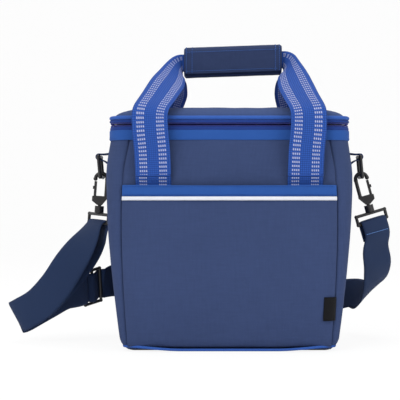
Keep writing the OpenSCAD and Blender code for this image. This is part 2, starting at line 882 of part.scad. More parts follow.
// The sprung gate: an eye on the pin, an arm that closes the hook and a thumb rib
module gate_of(i) {
    top = claw_z - claw_end_r - 0.3;
    color(BLACK)
        on_hook(i)
            difference() {
                union() {
                    rod([gate_pivot[0], -gate_t / 2, gate_pivot[1]],
                        [gate_pivot[0], gate_t / 2, gate_pivot[1]], 2.4);
                    translate([gate_pivot[0] - gate_t / 2, -gate_t / 2, gate_pivot[1]])
                        cube([gate_t, gate_t, top - gate_pivot[1]]);
                    translate([gate_pivot[0] + gate_t / 2 - 0.2, -gate_t / 2, top - 9])
                        cube([1.6, gate_t, 3.5]);
                }
                rod([gate_pivot[0], -2, gate_pivot[1]], [gate_pivot[0], 2, gate_pivot[1]], 1.1);
            }
}

module gate_left() {
    gate_of(0);
}

module gate_right() {
    gate_of(1);
}

// ---- Shoulder strap ----------------------------------------------------------

// A place in the frame of a hook, as a place in the bag's frame
function from_hook(i, p) =
    let (q = hook_place(i) + turned(p, -hook_lean[i]))
    [i == 0 ? -q.x : q.x, q.y, q.z];

// Directions of a strap bar and of its loop's front face
function bar_way(i) =
    let (v = turned([cos(bar_turn[i]), sin(bar_turn[i]), 0], -hook_lean[i]))
    [i == 0 ? -v.x : v.x, v.y, v.z];

// A point of the strap: its place and the direction of its width
function strap_point(place, wide) = concat(place, wide, [strap_w, strap_t]);

// A place near a strap bar, at a distance from its axis to the rear and upwards
function near_bar(i, rear, up) =
    strap_point(from_hook(i, [-rear * sin(bar_turn[i]), rear * cos(bar_turn[i]), strap_bar_z + up]),
        bar_way(i));

// The strap over a bar: up its rear face, over the bar and down its front face, which
// leaves at an angle to the front
bar_wrap_r = strap_bar_r + strap_t / 2 + 0.45;
wrap_l = 8;
sewn_l = 20;
strap_lean = [41, 0];
function over_bar(i, rear_drop, front_drop) = let (a = strap_lean[i], r = bar_wrap_r) concat(
    [near_bar(i, r * 0.8, -rear_drop)],
    [for (k = [0:6]) let (b = (180 - a) * k / 6) near_bar(i, r * cos(b), r * sin(b))],
    [near_bar(i, -r * 0.9 * cos(a) - front_drop * sin(a), r * 0.9 * sin(a) - front_drop * cos(a))]);

// Heights of the strap bars over the ground, left and right
bar_height = [for (i = [0, 1]) from_hook(i, [0, 0, strap_bar_z]).z];

// Place of the adjuster, its direction along the strap and the direction of its bars
adjuster_place = [-half_w(shoulder_z) - 0.212 * bar_height[0], 0.55 * half_d, 0.438 * bar_height[0]];
adjuster_along = unit([0.82, 0.52, 0.24]);
adjuster_lean = [0, -0.42, 0.9];
adjuster_wide = unit(adjuster_lean - (adjuster_lean * adjuster_along) * adjuster_along);
adjuster_out = unit(cross(adjuster_along, adjuster_wide));

// A place along the adjuster and off its plane
function on_adjuster(along, out) =
    adjuster_place + along * adjuster_along + out * adjuster_out;

// A point of the strap in the adjuster's plane
function adjuster_point(along, out) = strap_point(on_adjuster(along, out), adjuster_wide);

// Points of the strap at one side of the bag, from rows of distance from the wall, place in
// the depth and height, as shares of the strap bar's height, and direction of the width
function strap_rows(i, rows) = [for (r = rows)
    strap_point([(i == 0 ? -1 : 1) * (half_w(shoulder_z) + r[0] * bar_height[i]),
        r[1] * bar_height[i], r[2] * bar_height[i]], r[3])];

// Points of the strap behind the bag, from rows of place across as a share of the half
// width, distance from the back wall and height as shares of the strap bar's height, and
// direction of the width
function back_rows(rows) = [for (r = rows)
    strap_point([r[0] * half_w(shoulder_z), half_d + r[1] * bar_height[1],
        r[2] * bar_height[1]], r[3])];

// The route of the strap: from its sewn end at the adjuster up to the left-hand clip,
strap_start = concat(
    [for (a = [25, 60, 95]) adjuster_point(
        bar_wrap_r * cos(a) - adjuster_pitch, bar_wrap_r * sin(a))],
    [adjuster_point(-adjuster_pitch - 7, 4)],
    strap_rows(0, [[0.424, 0.19, 0.385, [-0.12, -0.32, 0.93]], [0.526, 0.135, 0.345, [-0.25, -0.2, 0.93]],
        [0.584, 0.106, 0.325, [-0.35, -0.1, 0.92]], [0.599, 0.08, 0.32, [-0.42, 0, 0.9]],
        [0.562, 0.058, 0.36, [-0.5, 0.06, 0.86]], [0.431, 0.033, 0.5, [-0.62, 0.14, 0.76]],
        [0.263, 0.029, 0.7, [-0.7, 0.36, 0.55]], [0.157, 0.044, 0.85, [-0.66, 0.62, 0.28]]]),
    over_bar(0, wrap_l, wrap_l));
// then down to its fold on the ground side,
strap_down = strap_rows(0, [[0.247, -0.084, 0.822, [-0.7, 0.52, 0.35]], [0.356, -0.106, 0.649, [-0.75, 0.22, 0.58]],
    [0.47, -0.095, 0.474, [-0.7, 0.1, 0.68]], [0.616, -0.051, 0.32, [-0.62, 0.1, 0.78]],
    [0.767, 0, 0.23, [-0.5, 0.1, 0.85]], [0.818, 0.058, 0.2, [-0.5, 0.1, 0.86]],
    [0.774, 0.11, 0.205, [-0.45, 0.06, 0.88]]]);
// back through the adjuster,
strap_back = concat(
    strap_rows(0, [[0.657, 0.146, 0.27, [-0.35, -0.06, 0.92]], [0.541, 0.186, 0.33, [-0.22, -0.2, 0.93]],
        [0.438, 0.23, 0.375, [-0.1, -0.34, 0.92]]]),
    [for (k = [-9:9]) adjuster_point(adjuster_pitch * k / 6, bar_wrap_r * cos(30 * k))]);
// and round the back of the bag to the right-hand clip
strap_round = concat(
    back_rows([[-1.05, -0.146, 0.475, [0, -0.1, 1]], [-0.97, -0.015, 0.46, [0, 0.05, 1]],
        [-0.83, 0.088, 0.438, [0, 0.12, 1]], [-0.45, 0.11, 0.402, [0, 0.12, 1]],
        [0.15, 0.124, 0.358, [0, 0.12, 1]], [0.68, 0.117, 0.336, [0, 0.12, 1]],
        [0.97, 0.088, 0.336, [0.1, 0.3, 1]], [1.13, -0.029, 0.358, [0.2, 0.5, 0.85]]]),
    strap_rows(1, [[0.189, 0.45, 0.35, [0.4, 0.6, 0.7]], [0.261, 0.25, 0.44, [0.7, 0.55, 0.4]],
        [0.275, 0.1, 0.61, [0.85, 0.5, 0.15]], [0.25, 0.02, 0.77, [0.85, 0.55, 0.2]]]),
    backwards(over_bar(1, sewn_l, 2 * wrap_l)));
strap_route = curve(concat(strap_start, strap_down, strap_back, strap_round), 2);
strap_split = 2 * (len(strap_start) + len(strap_down) - 1);

// From the adjuster over the left-hand clip and down to the fold
module strap_loop() {
    color(NAVY)
        ribbon(strap_route, 0, strap_split);
}

// From the fold through the adjuster and round the back to the right-hand clip
module strap_run() {
    color(NAVY)
        ribbon(strap_route, strap_split);
}

// A frame with three bars, through which the strap weaves
module strap_adjuster() {
    length = strap_w + 2 * strap_bar_r + 2;
    ends = length / 2;
    color(BLACK) {
        for (k = [-1, 0, 1])
            rod(on_adjuster(k * adjuster_pitch, 0) - ends * adjuster_wide,
                on_adjuster(k * adjuster_pitch, 0) + ends * adjuster_wide, strap_bar_r);
        for (s = [-1, 1])
            rod(on_adjuster(-adjuster_pitch, 0) + s * ends * adjuster_wide,
                on_adjuster(adjuster_pitch, 0) + s * ends * adjuster_wide, strap_bar_r);
        for (k = [-1, 1], s = [-1, 1])
            translate(on_adjuster(k * adjuster_pitch, 0) + s * ends * adjuster_wide)
                sphere(strap_bar_r + 0.3, $fn = 24);
    }
}

front_panel();
back_panel();
side_panel_left();
side_panel_right();
base_panel();
base_piping();
base_board();
foam_front();
foam_back();
foam_left();
foam_right();
foam_base();
inner_liner();
top_band();
zip_tape_lower();
zip_coil_lower();
zip_stops();
front_pocket();
pocket_hem();
pocket_piping();
label_tab();
handle_anchors_front();
handle_anchors_back();
side_tab_left();
side_tab_right();
lid_hinge_band();
lid_top();
lid_foam();
lid_liner();
lid_piping();
zip_tape_upper();
zip_coil_upper();
zip_slider();
zip_pull();
handle_front();
handle_back();
grip_wrap();
grip_flap();
ring_left();
ring_right();
clip_left();
clip_right();
hook_left();
hook_right();
gate_left();
gate_right();
strap_loop();
strap_run();
strap_adjuster();
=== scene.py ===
# The looks of an insulated cooler bag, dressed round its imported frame. Sizes are in
# millimetres until a mesh is made, and places come from the frame's own nodes.

import math

import bpy
import numpy as np
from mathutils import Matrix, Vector, noise


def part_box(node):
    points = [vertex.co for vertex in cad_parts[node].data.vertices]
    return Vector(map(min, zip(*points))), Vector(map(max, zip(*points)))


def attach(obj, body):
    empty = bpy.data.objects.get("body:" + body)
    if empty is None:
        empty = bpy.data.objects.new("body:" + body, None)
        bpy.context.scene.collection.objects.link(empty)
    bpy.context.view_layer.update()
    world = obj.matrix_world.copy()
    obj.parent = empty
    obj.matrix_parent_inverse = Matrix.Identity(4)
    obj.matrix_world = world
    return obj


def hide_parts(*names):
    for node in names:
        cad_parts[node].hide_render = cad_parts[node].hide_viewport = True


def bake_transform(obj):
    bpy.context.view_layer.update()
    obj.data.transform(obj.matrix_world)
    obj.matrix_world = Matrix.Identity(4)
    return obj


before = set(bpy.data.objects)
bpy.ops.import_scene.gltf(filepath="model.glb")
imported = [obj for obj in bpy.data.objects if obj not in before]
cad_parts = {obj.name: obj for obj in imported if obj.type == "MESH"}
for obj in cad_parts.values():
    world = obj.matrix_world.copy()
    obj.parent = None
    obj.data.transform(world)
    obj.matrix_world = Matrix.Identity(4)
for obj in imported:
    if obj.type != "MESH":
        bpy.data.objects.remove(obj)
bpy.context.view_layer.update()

MM = 0.001


def low(node):
    """Lowest corner of a node, in millimetres."""
    return np.array(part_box(node)[0]) / MM


def high(node):
    """Highest corner of a node, in millimetres."""
    return np.array(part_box(node)[1]) / MM


def middle(node):
    """The middle of a node's box, in millimetres."""
    return (low(node) + high(node)) / 2


def half_size(node):
    """Half of a node's box, in millimetres."""
    return (high(node) - low(node)) / 2


# ---- Sizes ----------------------------------------------------------------------------

HALF_D = high("back_panel")[1]
BODY_HALF = high("side_panel_right")[0]
MOUTH_HALF = high("zip_tape_lower")[0]
BASE_ROUND = 15.0
CORNER, BASE_CORNER = 22.0, 8.0
BASE_HALF = high("base_panel")[0] + BASE_ROUND + 0.2
SHOULDER_Z = 195.0
RIM_Z = low("top_band")[2]
SKIN_TOP = high("front_panel")[2]
SKIN_T = 1.2
PLY_GAP = 0.2
LINER_DEPTH = 8.8
CORD_LIFT, CORD_OUT, CORD_REACH = 3.4, 9.0, 60.0


# ---- Outline of the walls ---------------------------------------------------------------


def mix(a, b, k):
    return a + (b - a) * k


def half_w(z):
    """Half the width of the walls at a height."""
    if z <= SHOULDER_Z:
        return mix(BASE_HALF, BODY_HALF, math.sin(math.pi / 2 * max(z, 0) / SHOULDER_Z))
    if z >= RIM_Z:
        return MOUTH_HALF
    return mix(BODY_HALF, MOUTH_HALF, (z - SHOULDER_Z) / (RIM_Z - SHOULDER_Z))


def corner(z, inset=0.0):
    """Radius of the upright corners at a height, under the outer surface."""
    return max(mix(BASE_CORNER, CORNER, min(z / RIM_Z, 1)) - inset, 1)


def wall_levels(top, steps=26, depth=0.0):
    """Heights and insets of the walls, from the round lower edge to the top."""
    radius = BASE_ROUND - depth
    curved = [(BASE_ROUND - radius * math.cos(a), BASE_ROUND - radius * math.sin(a))
              for a in np.linspace(0, math.pi / 2, 9)]
    return curved + [(z, depth) for z in np.linspace(BASE_ROUND, top, steps)[1:]]


def arc(cx, cy, radius, start, end, steps):
    """Points and outward directions along an arc, in degrees."""
    angles = np.radians(np.linspace(start, end, steps))
    ways = np.stack([np.cos(angles), np.sin(angles)], 1)
    return np.array([cx, cy]) + radius * ways, ways


def joined(parts):
    """Joins runs of points and outward directions, leaving out doubled points."""
    points, ways = (np.concatenate(rows) for rows in zip(*parts))
    keep = [0] + [i for i in range(1, len(points)) if np.linalg.norm(points[i] - points[i - 1]) > 1e-4]
    return points[keep], ways[keep]


def straight(a, b, steps):
    """Points and outward directions along a straight line, with the outside on its right."""
    points = np.linspace(a, b, steps)
    along = (np.array(b) - np.array(a)) / np.linalg.norm(np.array(b) - np.array(a))
    return points, np.tile([along[1], -along[0]], (steps, 1))


def side_run(half, inset=0.0, sign=1, z=RIM_Z):
    """One side of the outline, from seam to seam. The left side is turned half round."""
    a, b, r = half - inset, HALF_D - inset, corner(z, inset)
    points, ways = joined([arc(a - r, -b + r, r, -90, 0, 13), straight((a, -b + r), (a, b - r), 31),
                           arc(a - r, b - r, r, 0, 90, 13)])
    return points * sign, ways * sign


def front_run(half, inset=0.0, sign=1, z=RIM_Z):
    """The front or the back of the outline, from seam to seam, closer set near the seams."""
    x = half - inset - corner(z, inset)
    share = np.linspace(-1, 1, 61)
    share = np.sign(share) * (1 - (1 - np.abs(share)) ** 1.35)
    points = np.stack([x * share, np.full(61, -HALF_D + inset)], 1)
    return points * sign, np.tile([0, -1.0], (61, 1)) * sign


def ring_run(half, inset=0.0, z=RIM_Z):
    """The whole outline, counter-clockwise, from the middle of the back."""
    a, b, r = half - inset, HALF_D - inset, corner(z, inset)
    return joined([straight((0, b), (-a + r, b), 13), arc(-a + r, b - r, r, 90, 180, 11),
                   straight((-a, b - r), (-a, -b + r), 15), arc(-a + r, -b + r, r, 180, 270, 11),
                   straight((-a + r, -b), (a - r, -b), 25), arc(a - r, -b + r, r, 270, 360, 11),
                   straight((a, -b + r), (a, b - r), 15), arc(a - r, b - r, r, 0, 90, 11),
                   straight((a - r, b), (0, b), 13)])


def mouth_run(half):
    """The run of the zip: round the back corners, the two sides and the front."""
    a, b, r = half, HALF_D, CORNER
    return joined([arc(-a + r, b - r, r, 96, 180, 9), straight((-a, b - r), (-a, -b + r), 21),
                   arc(-a + r, -b + r, r, 180, 270, 11), straight((-a + r, -b), (a - r, -b), 31),
                   arc(a - r, -b + r, r, 270, 360, 11), straight((a, -b + r), (a, b - r), 21),
                   arc(a - r, b - r, r, 0, 84, 9)])


def lengths(points):
    """Distance along a run of points."""
    return np.concatenate([[0], np.cumsum(np.linalg.norm(np.diff(points, axis=0), axis=1))])


def ripple(p, scale, seed=0.0):
    """Smooth noise from -1 to 1 at a place, with features of about the scale."""
    return noise.noise(Vector(p) / scale + Vector((seed, seed * 1.7, seed * 0.3)))


def ripples(run, z, scale, seed):
    """The ripple at each point of a run in the plan, at a height."""
    return np.array([ripple((x, y, z), scale, seed) for x, y in run])


def at_height(run, z):
    """The points of a run in the plan, at one height or at one for each."""
    return np.column_stack([run, np.broadcast_to(z, len(run))])


# ---- Meshes -------------------------------------------------------------------------------


def mesh_piece(name, verts, faces, uvs, material, smooth=True):
    """A mesh object from vertices in millimetres, faces and one UV for each face corner."""
    mesh = bpy.data.meshes.new(name)
    mesh.from_pydata((np.asarray(verts, float) * MM).tolist(), [], [list(map(int, f)) for f in faces])
    layer = mesh.uv_layers.new(name="UVMap")
    if uvs is not None:
        layer.data.foreach_set("uv", (np.asarray(uvs, float) * MM).reshape(-1).astype(np.float32))
    mesh.polygons.foreach_set("use_smooth", [smooth] * len(mesh.polygons))
    mesh.materials.append(material)
    piece = bpy.data.objects.new(name, mesh)
    bpy.context.scene.collection.objects.link(piece)
    return piece


def grid(rows, u, v, around=False, along=False, flip=False):
    """Vertices, faces and corner UVs of a grid of points. u is one number for each column
    and v one for each row, and either way may close on itself."""
    rows = np.asarray(rows, float)
    m, n = rows.shape[:2]
    u = np.broadcast_to(np.asarray(u, float), (m, n + around)) if np.ndim(u) < 2 else np.asarray(u, float)
    v = np.asarray(v, float)
    faces, uvs = [], []
    for i in range(m if along else m - 1):
        for j in range(n if around else n - 1):
            a, b = i * n + j, i * n + (j + 1) % n
            c, d = ((i + 1) % m) * n + (j + 1) % n, ((i + 1) % m) * n + j
            ui = min(i + 1, len(u) - 1)
            patch = [(u[i][j], v[i]), (u[i][j + 1], v[i]), (u[ui][j + 1], v[i + 1]), (u[ui][j], v[i + 1])]
            face = [a, b, c, d]
            faces.append(face[::-1] if flip else face)
            uvs.extend(patch[::-1] if flip else patch)
    return rows.reshape(-1, 3), faces, uvs


def thicken(piece, thick):
    """Gives a thickness to a piece that is a sheet, behind its face."""
    solid = piece.modifiers.new("thickness", "SOLIDIFY")
    solid.thickness = thick * MM
    return piece


def sheet_piece(name, rows, u, v, thick, material, flip=False):
    """A thin sheet from a grid of points, given a thickness."""
    return thicken(mesh_piece(name, *grid(rows, u, v, flip=flip), material), thick)


def crosswise(shape):
    """A shape with its two surface coordinates swapped, so that ribs run across a strip."""
    verts, faces, uvs = shape
    return verts, faces, [(b, a) for a, b in uvs]


def from_above(shape):
    """A shape with its surface coordinates taken from above."""
    verts, faces = shape[:2]
    return verts, faces, [(verts[k][0], verts[k][1]) for f in faces for k in f]


def tube(points, radius, sides=10, closed=False, start=0.0):
    """Vertices, faces and UVs of a round tube along points. Radius may vary along it."""
    points = np.asarray(points, float)
    n = len(points)
    radii = np.broadcast_to(np.asarray(radius, float), (n,))
    ahead = np.roll(points, -1, 0) if closed else np.vstack([points[1:], points[-1:]])
    behind = np.roll(points, 1, 0) if closed else np.vstack([points[:1], points[:-1]])
    ways = ahead - behind
    ways /= np.linalg.norm(ways, axis=1)[:, None]
    side = np.cross(ways[0], [0, 0, 1.0])
    if np.linalg.norm(side) < 0.1:
        side = np.cross(ways[0], [1.0, 0, 0])
    rows = []
    for i in range(n):
        side = side - np.dot(side, ways[i]) * ways[i]
        side /= np.linalg.norm(side)
        up = np.cross(ways[i], side)
        angles = np.linspace(0, 2 * math.pi, sides, endpoint=False)
        rows.append(points[i] + radii[i] * (np.cos(angles)[:, None] * side + np.sin(angles)[:, None] * up))
    v = start + lengths(np.vstack([points, points[:1]]) if closed else points)
    u = np.linspace(0, 2 * math.pi * float(radii.mean()), sides + 1)
    verts, faces, uvs = grid(rows, u, v, around=True, along=closed)
    if not closed:
        for ring, order in ((0, 1), (n - 1, -1)):
            loop = [ring * sides + k for k in range(sides)][::-order]
            faces.append(loop)
            uvs.extend([(0, 0)] * sides)
    return verts, faces, uvs


def tube_piece(name, points, radius, material, sides=10, closed=False):
    return mesh_piece(name, *tube(points, radius, sides, closed), material)


def merged(parts):
    """Joins vertices, faces and UVs of several shapes."""
    verts, faces, uvs, base = [], [], [], 0
    for v, f, t in parts:
        verts.append(np.asarray(v, float))
        faces.extend([[k + base for k in face] for face in f])
        uvs.extend(t)
        base += len(v)
    return np.concatenate(verts), faces, uvs


def curve(points, steps):
    """Smooth curve through points that may carry more than three numbers each."""
    points = [np.asarray(p, float) for p in points]
    out, last = [], len(points) - 1
    for i in range(last):
        p0, p1, p2, p3 = points[max(i - 1, 0)], points[i], points[i + 1], points[min(i + 2, last)]
        for k in range(steps):
            t = k / steps
            out.append((2 * p1 + (p2 - p0) * t + (2 * p0 - 5 * p1 + 4 * p2 - p3) * t ** 2
                        + (3 * p1 - 3 * p2 + p3 - p0) * t ** 3) / 2)
    return np.array(out + [points[-1]])


def unit(v):
    return np.asarray(v, float) / np.linalg.norm(v)


def webbing_frames(path):
    """Places, width directions, face directions, widths and thicknesses along a path."""
    path = np.asarray(path, float)
    places = path[:, :3]
    frames = []
    for i in range(len(path)):
        along = unit(places[min(i + 1, len(path) - 1)] - places[max(i - 1, 0)])
        across = unit(path[i, 3:6] - np.dot(path[i, 3:6], along) * along)
        frames.append((places[i], across, np.cross(along, across), path[i, 6], path[i, 7]))
    return frames


def webbing(path, first=0, last=None, cup=0.0, columns=13, start=0.0, capped=(True, True)):
    """Vertices, faces and UVs of flat webbing with rounded edges, along part of a path.
    cup lifts its edges a little towards the face direction."""
    frames = webbing_frames(path)[first:(last + 1) if last is not None else None]
    share = np.linspace(-1, 1, columns)
    rows = []
    for place, across, face, width, thick in frames:
        bow = cup * share ** 2
        body = 0.5 * thick * (1 - 0.55 * np.abs(share) ** 14)
        front = [place + across * width / 2 * s + face * (b + t) for s, b, t in zip(share, bow, body)]
        back = [place + across * width / 2 * s + face * (b - t) for s, b, t in zip(share, bow, body)]
        rows.append(front + back[::-1])
    rows = np.array(rows)
    n = 2 * columns
    width = max(f[3] for f in frames)
    half = (share + 1) / 2 * width
    u = np.concatenate([half, half[::-1], [0]])
    v = start + lengths(np.array([f[0] for f in frames]))
    verts, faces, uvs = grid(rows, u, v, around=True)
    for ring, order, cap in ((0, 1, capped[0]), (len(rows) - 1, -1, capped[1])):
        if cap:
            faces.append([ring * n + k for k in range(n)][::-order])
            uvs.extend([(0, v[0])] * n)
    return verts, faces, uvs


def stitch_row(points, normals, pitch=3.0, length=2.1, radius=0.28, lift=0.05):
    """A row of separate stitches along points on a surface, with one normal or one for each."""
    points = np.asarray(points, float)
    normals = np.broadcast_to(np.asarray(normals, float), points.shape)
    run = lengths(points)
    parts = []
    for k in range(int(run[-1] // pitch)):
        a = (k + 0.5) * pitch - length / 2
        stations = np.clip(np.linspace(a, a + length, 5), 0, run[-1])
        places = np.stack([np.interp(stations, run, points[:, c]) for c in range(3)], 1)
        out = np.stack([np.interp(stations, run, normals[:, c]) for c in range(3)], 1)
        rise = radius * np.array([-0.8, 0.15, 0.45, 0.15, -0.8])[:, None] + lift
        parts.append(tube(places + out * rise, radius * np.array([0.45, 0.9, 1, 0.9, 0.45]), 6))
    return merged(parts)


def dress(piece, body, slot, *nodes):
    """Makes a piece ride on a body and stand for its CAD nodes; the slot is not used."""
    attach(piece, body)
    if nodes:
        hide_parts(*nodes)
    return piece


# ---- Materials ------------------------------------------------------------------------------


def colour(r, g, b):
    """A colour given in screen values from 0 to 255."""
    def lin(c):
        c /= 255
        return c / 12.92 if c <= 0.04045 else ((c + 0.055) / 1.055) ** 2.4
    return (lin(r), lin(g), lin(b), 1)


class Graph:
    """A material under construction. Sockets and plain numbers both serve as inputs."""

    def __init__(self, name, roughness=0.8, sheen=0.0, metallic=0.0, coat=0.0, gloss=0.12):
        self.material = bpy.data.materials.new(name)
        self.material.use_nodes = True
        self.tree = self.material.node_tree
        self.shader = self.tree.nodes["Principled BSDF"]
        self.shader.inputs["Roughness"].default_value = roughness
        self.shader.inputs["Metallic"].default_value = metallic
        self.shader.inputs["Sheen Weight"].default_value = sheen
        self.shader.inputs["Specular IOR Level"].default_value = gloss
        self.shader.inputs["Sheen Roughness"].default_value = 0.5
        self.shader.inputs["Coat Weight"].default_value = coat
        self.shader.inputs["Coat Roughness"].default_value = 0.25

    def feed(self, socket, value):
        if isinstance(value, bpy.types.NodeSocket):
            self.tree.links.new(value, socket)
        else:
            socket.default_value = value

    def math(self, operation, *values, clamp=False):
        node = self.tree.nodes.new("ShaderNodeMath")
        node.operation = operation
        node.use_clamp = clamp
        for socket, value in zip(node.inputs, values):
            self.feed(socket, value)
        return node.outputs[0]

    def times(self, a, b):
        return self.math("MULTIPLY", a, b)

    def plus(self, a, b):
        return self.math("ADD", a, b)

    def uv(self):
        """The two surface coordinates, in metres."""
        node = self.tree.nodes.new("ShaderNodeUVMap")
        node.uv_map = "UVMap"
        split = self.tree.nodes.new("ShaderNodeSeparateXYZ")
        self.tree.links.new(node.outputs[0], split.inputs[0])
        return split.outputs[0], split.outputs[1]

    def place(self):
        """The object's own coordinates, in metres."""
        return self.tree.nodes.new("ShaderNodeTexCoord").outputs["Object"]

    def join(self, x, y, z=0.0):
        node = self.tree.nodes.new("ShaderNodeCombineXYZ")
        for socket, value in zip(node.inputs, (x, y, z)):
            self.feed(socket, value)
        return node.outputs[0]

    def noise(self, vector, size, detail=3.0, rough=0.55):
        """Noise from 0 to 1, with features of a size in metres."""
        node = self.tree.nodes.new("ShaderNodeTexNoise")
        self.feed(node.inputs["Vector"], vector)
        node.inputs["Scale"].default_value = 1 / size
        node.inputs["Detail"].default_value = detail
        node.inputs["Roughness"].default_value = rough
        return node.outputs[0]

    def ramp(self, factor, a, b):
        """Blends two colours."""
        node = self.tree.nodes.new("ShaderNodeMix")
        node.data_type = "RGBA"
        self.feed(node.inputs["Factor"], factor)
        self.feed(node.inputs[6], a)
        self.feed(node.inputs[7], b)
        return node.outputs[2]

    def wave(self, x, pitch):
        """A wave from 0 to 1 over a coordinate."""
        turned = self.math("SINE", self.times(x, 2 * math.pi / pitch))
        return self.math("MULTIPLY_ADD", turned, 0.5, 0.5)

    def checks(self, x, y, pitch_x, pitch_y):
        """Crowns of the threads in a plain weave: 0 in the gaps and 1 on the threads."""
        a = self.math("SINE", self.times(x, math.pi / pitch_x))
        b = self.math("SINE", self.times(y, math.pi / pitch_y))
        return self.math("SQRT", self.math("ABSOLUTE", self.times(a, b)))

    def band(self, x, start, end, soft=0.0002):
        """1 between two values of a coordinate and 0 outside, with soft edges."""
        rise = self.math("DIVIDE", self.math("SUBTRACT", x, start), soft, clamp=True)
        fall = self.math("DIVIDE", self.math("SUBTRACT", end, x), soft, clamp=True)
        return self.times(rise, fall)

    def bump(self, height, distance, strength=1.0, under=None):
        node = self.tree.nodes.new("ShaderNodeBump")
        node.inputs["Distance"].default_value = distance
        node.inputs["Strength"].default_value = strength
        self.feed(node.inputs["Height"], height)
        if under is not None:
            self.tree.links.new(under, node.inputs["Normal"])
        return node.outputs[0]

    def finish(self, base, normal=None, roughness=None):
        self.feed(self.shader.inputs["Base Color"], base)
        if normal is not None:
            self.tree.links.new(normal, self.shader.inputs["Normal"])
        if roughness is not None:
            self.feed(self.shader.inputs["Roughness"], roughness)
        return self.material


def scaled(c, k):
    return (c[0] * k, c[1] * k, c[2] * k, 1)


def woven(name, tint, pitch=0.0009, depth=0.00018, roughness=0.8, sheen=0.03, crease=0.0006):
    """A plain-woven polyester: thread crowns, slubs and soft creases, with painted shade in the gaps between
    the threads and in the hollows of the broad creases.
    """
    g = Graph(name, roughness, sheen)
    u, v = g.uv()
    threads = g.checks(u, v, pitch, pitch)
    slub_u = g.noise(g.join(g.times(u, 0.06), v), 0.0012, 2)
    slub_v = g.noise(g.join(u, g.times(v, 0.06)), 0.0012, 2)
    slubs = g.math("MULTIPLY_ADD", g.plus(slub_u, slub_v), 0.5, 0.0)
    broad = g.noise(g.place(), 0.055, 3)
    long_u = g.noise(g.join(g.times(u, 0.12), v), 0.0026, 3)
    long_v = g.noise(g.join(u, g.times(v, 0.12)), 0.0026, 3)
    long_slubs = g.times(g.plus(long_u, long_v), 0.27)
    slubs = g.plus(g.times(slubs, 0.5), long_slubs)
    # Painted shade: the gaps between the thread crowns are darker; the slubs add the yarn's own uneven tone.
    tone = g.plus(g.times(slubs, 0.8), g.times(threads, 0.42))
    yarn_tone_and_gap_shade = g.ramp(tone, scaled(tint, 0.4), scaled(tint, 1.45))
    # Painted shade: the broad noise that raises the soft creases also darkens their hollows.
    crease_shade_mask = g.math("MULTIPLY_ADD", broad, 1.5, -0.3, clamp=True)
    shade = g.ramp(crease_shade_mask, scaled(tint, 0.88), scaled(tint, 1.1))
    base = g.ramp(0.35, yarn_tone_and_gap_shade, shade)
    rumple = g.noise(g.place(), 0.016, 4, 0.5)
    soft = g.bump(rumple, crease * 2, 1.0, g.bump(broad, crease * 6))
    fine = g.bump(g.plus(threads, g.times(slubs, 0.5)), depth, 1.0, soft)
    return g.finish(base, fine)


def ribbed(name, tint, pitch=0.0011, depth=0.00025, sheen=0.04, roughness=0.7):
    """A ribbed tape or webbing: ribs across its length, with fine threads on them."""
    g = Graph(name, roughness, sheen)
    u, v = g.uv()
    ribs = g.wave(v, pitch)
    threads = g.checks(u, v, pitch * 0.7, pitch / 2)
    blotch = g.noise(g.place(), 0.012, 3)
    # Painted shade: the troughs between the ribs and between the threads are darker, from the same height as
    # the bump.
    tone = g.math("MULTIPLY_ADD", ribs, 0.5, g.times(threads, 0.35))
    base = g.ramp(tone, scaled(tint, 0.68), scaled(tint, 1.22))
    base = g.ramp(g.times(blotch, 0.5), base, scaled(tint, 0.8))
    height = g.plus(ribs, g.times(threads, 0.6))
    return g.finish(base, g.bump(height, depth))


def dashed_webbing(name, tint, thread, width):
    """Handle webbing: two pale stripes of short dashes on a basket weave."""
    g = Graph(name, 0.72, 0.04)
    u, v = g.uv()
    pitch = 0.00435
    cells = 4
    share = g.math("DIVIDE", u, width)
    dash = None
    for start, end in ((0.10, 0.33), (0.65, 0.88)):
        step = (end - start) * width / cells
        inside = g.band(share, start, end, 0.01)
        across = g.math("FRACT", g.math("DIVIDE", g.math("SUBTRACT", u, start * width), step))
        slant = g.math("FRACT", g.plus(g.math("DIVIDE", v, pitch), g.times(across, 0.16)))
        mark = g.times(g.band(across, 0.15, 0.85, 0.06), g.band(slant, 0.16, 0.74, 0.08))
        mark = g.times(mark, inside)
        dash = mark if dash is None else g.math("MAXIMUM", dash, mark)
    threads = g.checks(u, v, 0.0022, 0.0022)
    blotch = g.noise(g.place(), 0.02, 3)
    wear = g.noise(g.join(u, v), 0.0008, 2)
    # Painted shade: the gaps of the basket weave are darker than the thread crowns.
    cloth = g.ramp(threads, scaled(tint, 0.45), scaled(tint, 1.3))
    cloth = g.ramp(g.times(blotch, 0.35), cloth, scaled(tint, 0.75))
    pale = g.ramp(wear, scaled(thread, 0.7), scaled(thread, 1.1))
    base = g.ramp(dash, cloth, pale)
    height = g.plus(threads, g.times(dash, 0.8))
    return g.finish(base, g.bump(height, 0.00035))


def corded(name, tint, pitch=0.0012, roughness=0.65, sheen=0.04):
    """A cloth-covered piping: slanting threads round a cord."""
    g = Graph(name, roughness, sheen)
    u, v = g.uv()
    slant = g.wave(g.plus(v, u), pitch)
    blotch = g.noise(g.place(), 0.01, 3)
    # Painted shade: the grooves between the slanting threads are darker, from the same wave as the bump.
    base = g.ramp(g.math("MULTIPLY_ADD", slant, 0.5, g.times(blotch, 0.4)),
                  scaled(tint, 0.8), scaled(tint, 1.12))
    return g.finish(base, g.bump(slant, 0.00012))


def plastic(name, tint, roughness=0.38, grain=0.00035):
    """Moulded acetal: a fine spark-eroded grain with shinier patches of soft wear."""
    g = Graph(name, roughness, 0, 0, 0.08, 0.4)
    p = g.place()
    fine = g.noise(p, grain, 2)
    broad = g.noise(p, 0.006, 3)
    base = g.ramp(broad, scaled(tint, 0.8), scaled(tint, 1.35))
    rough = g.math("MULTIPLY_ADD", broad, 0.22, roughness - 0.1)
    return g.finish(base, g.bump(g.plus(fine, broad), 0.00012, 0.6), rough)


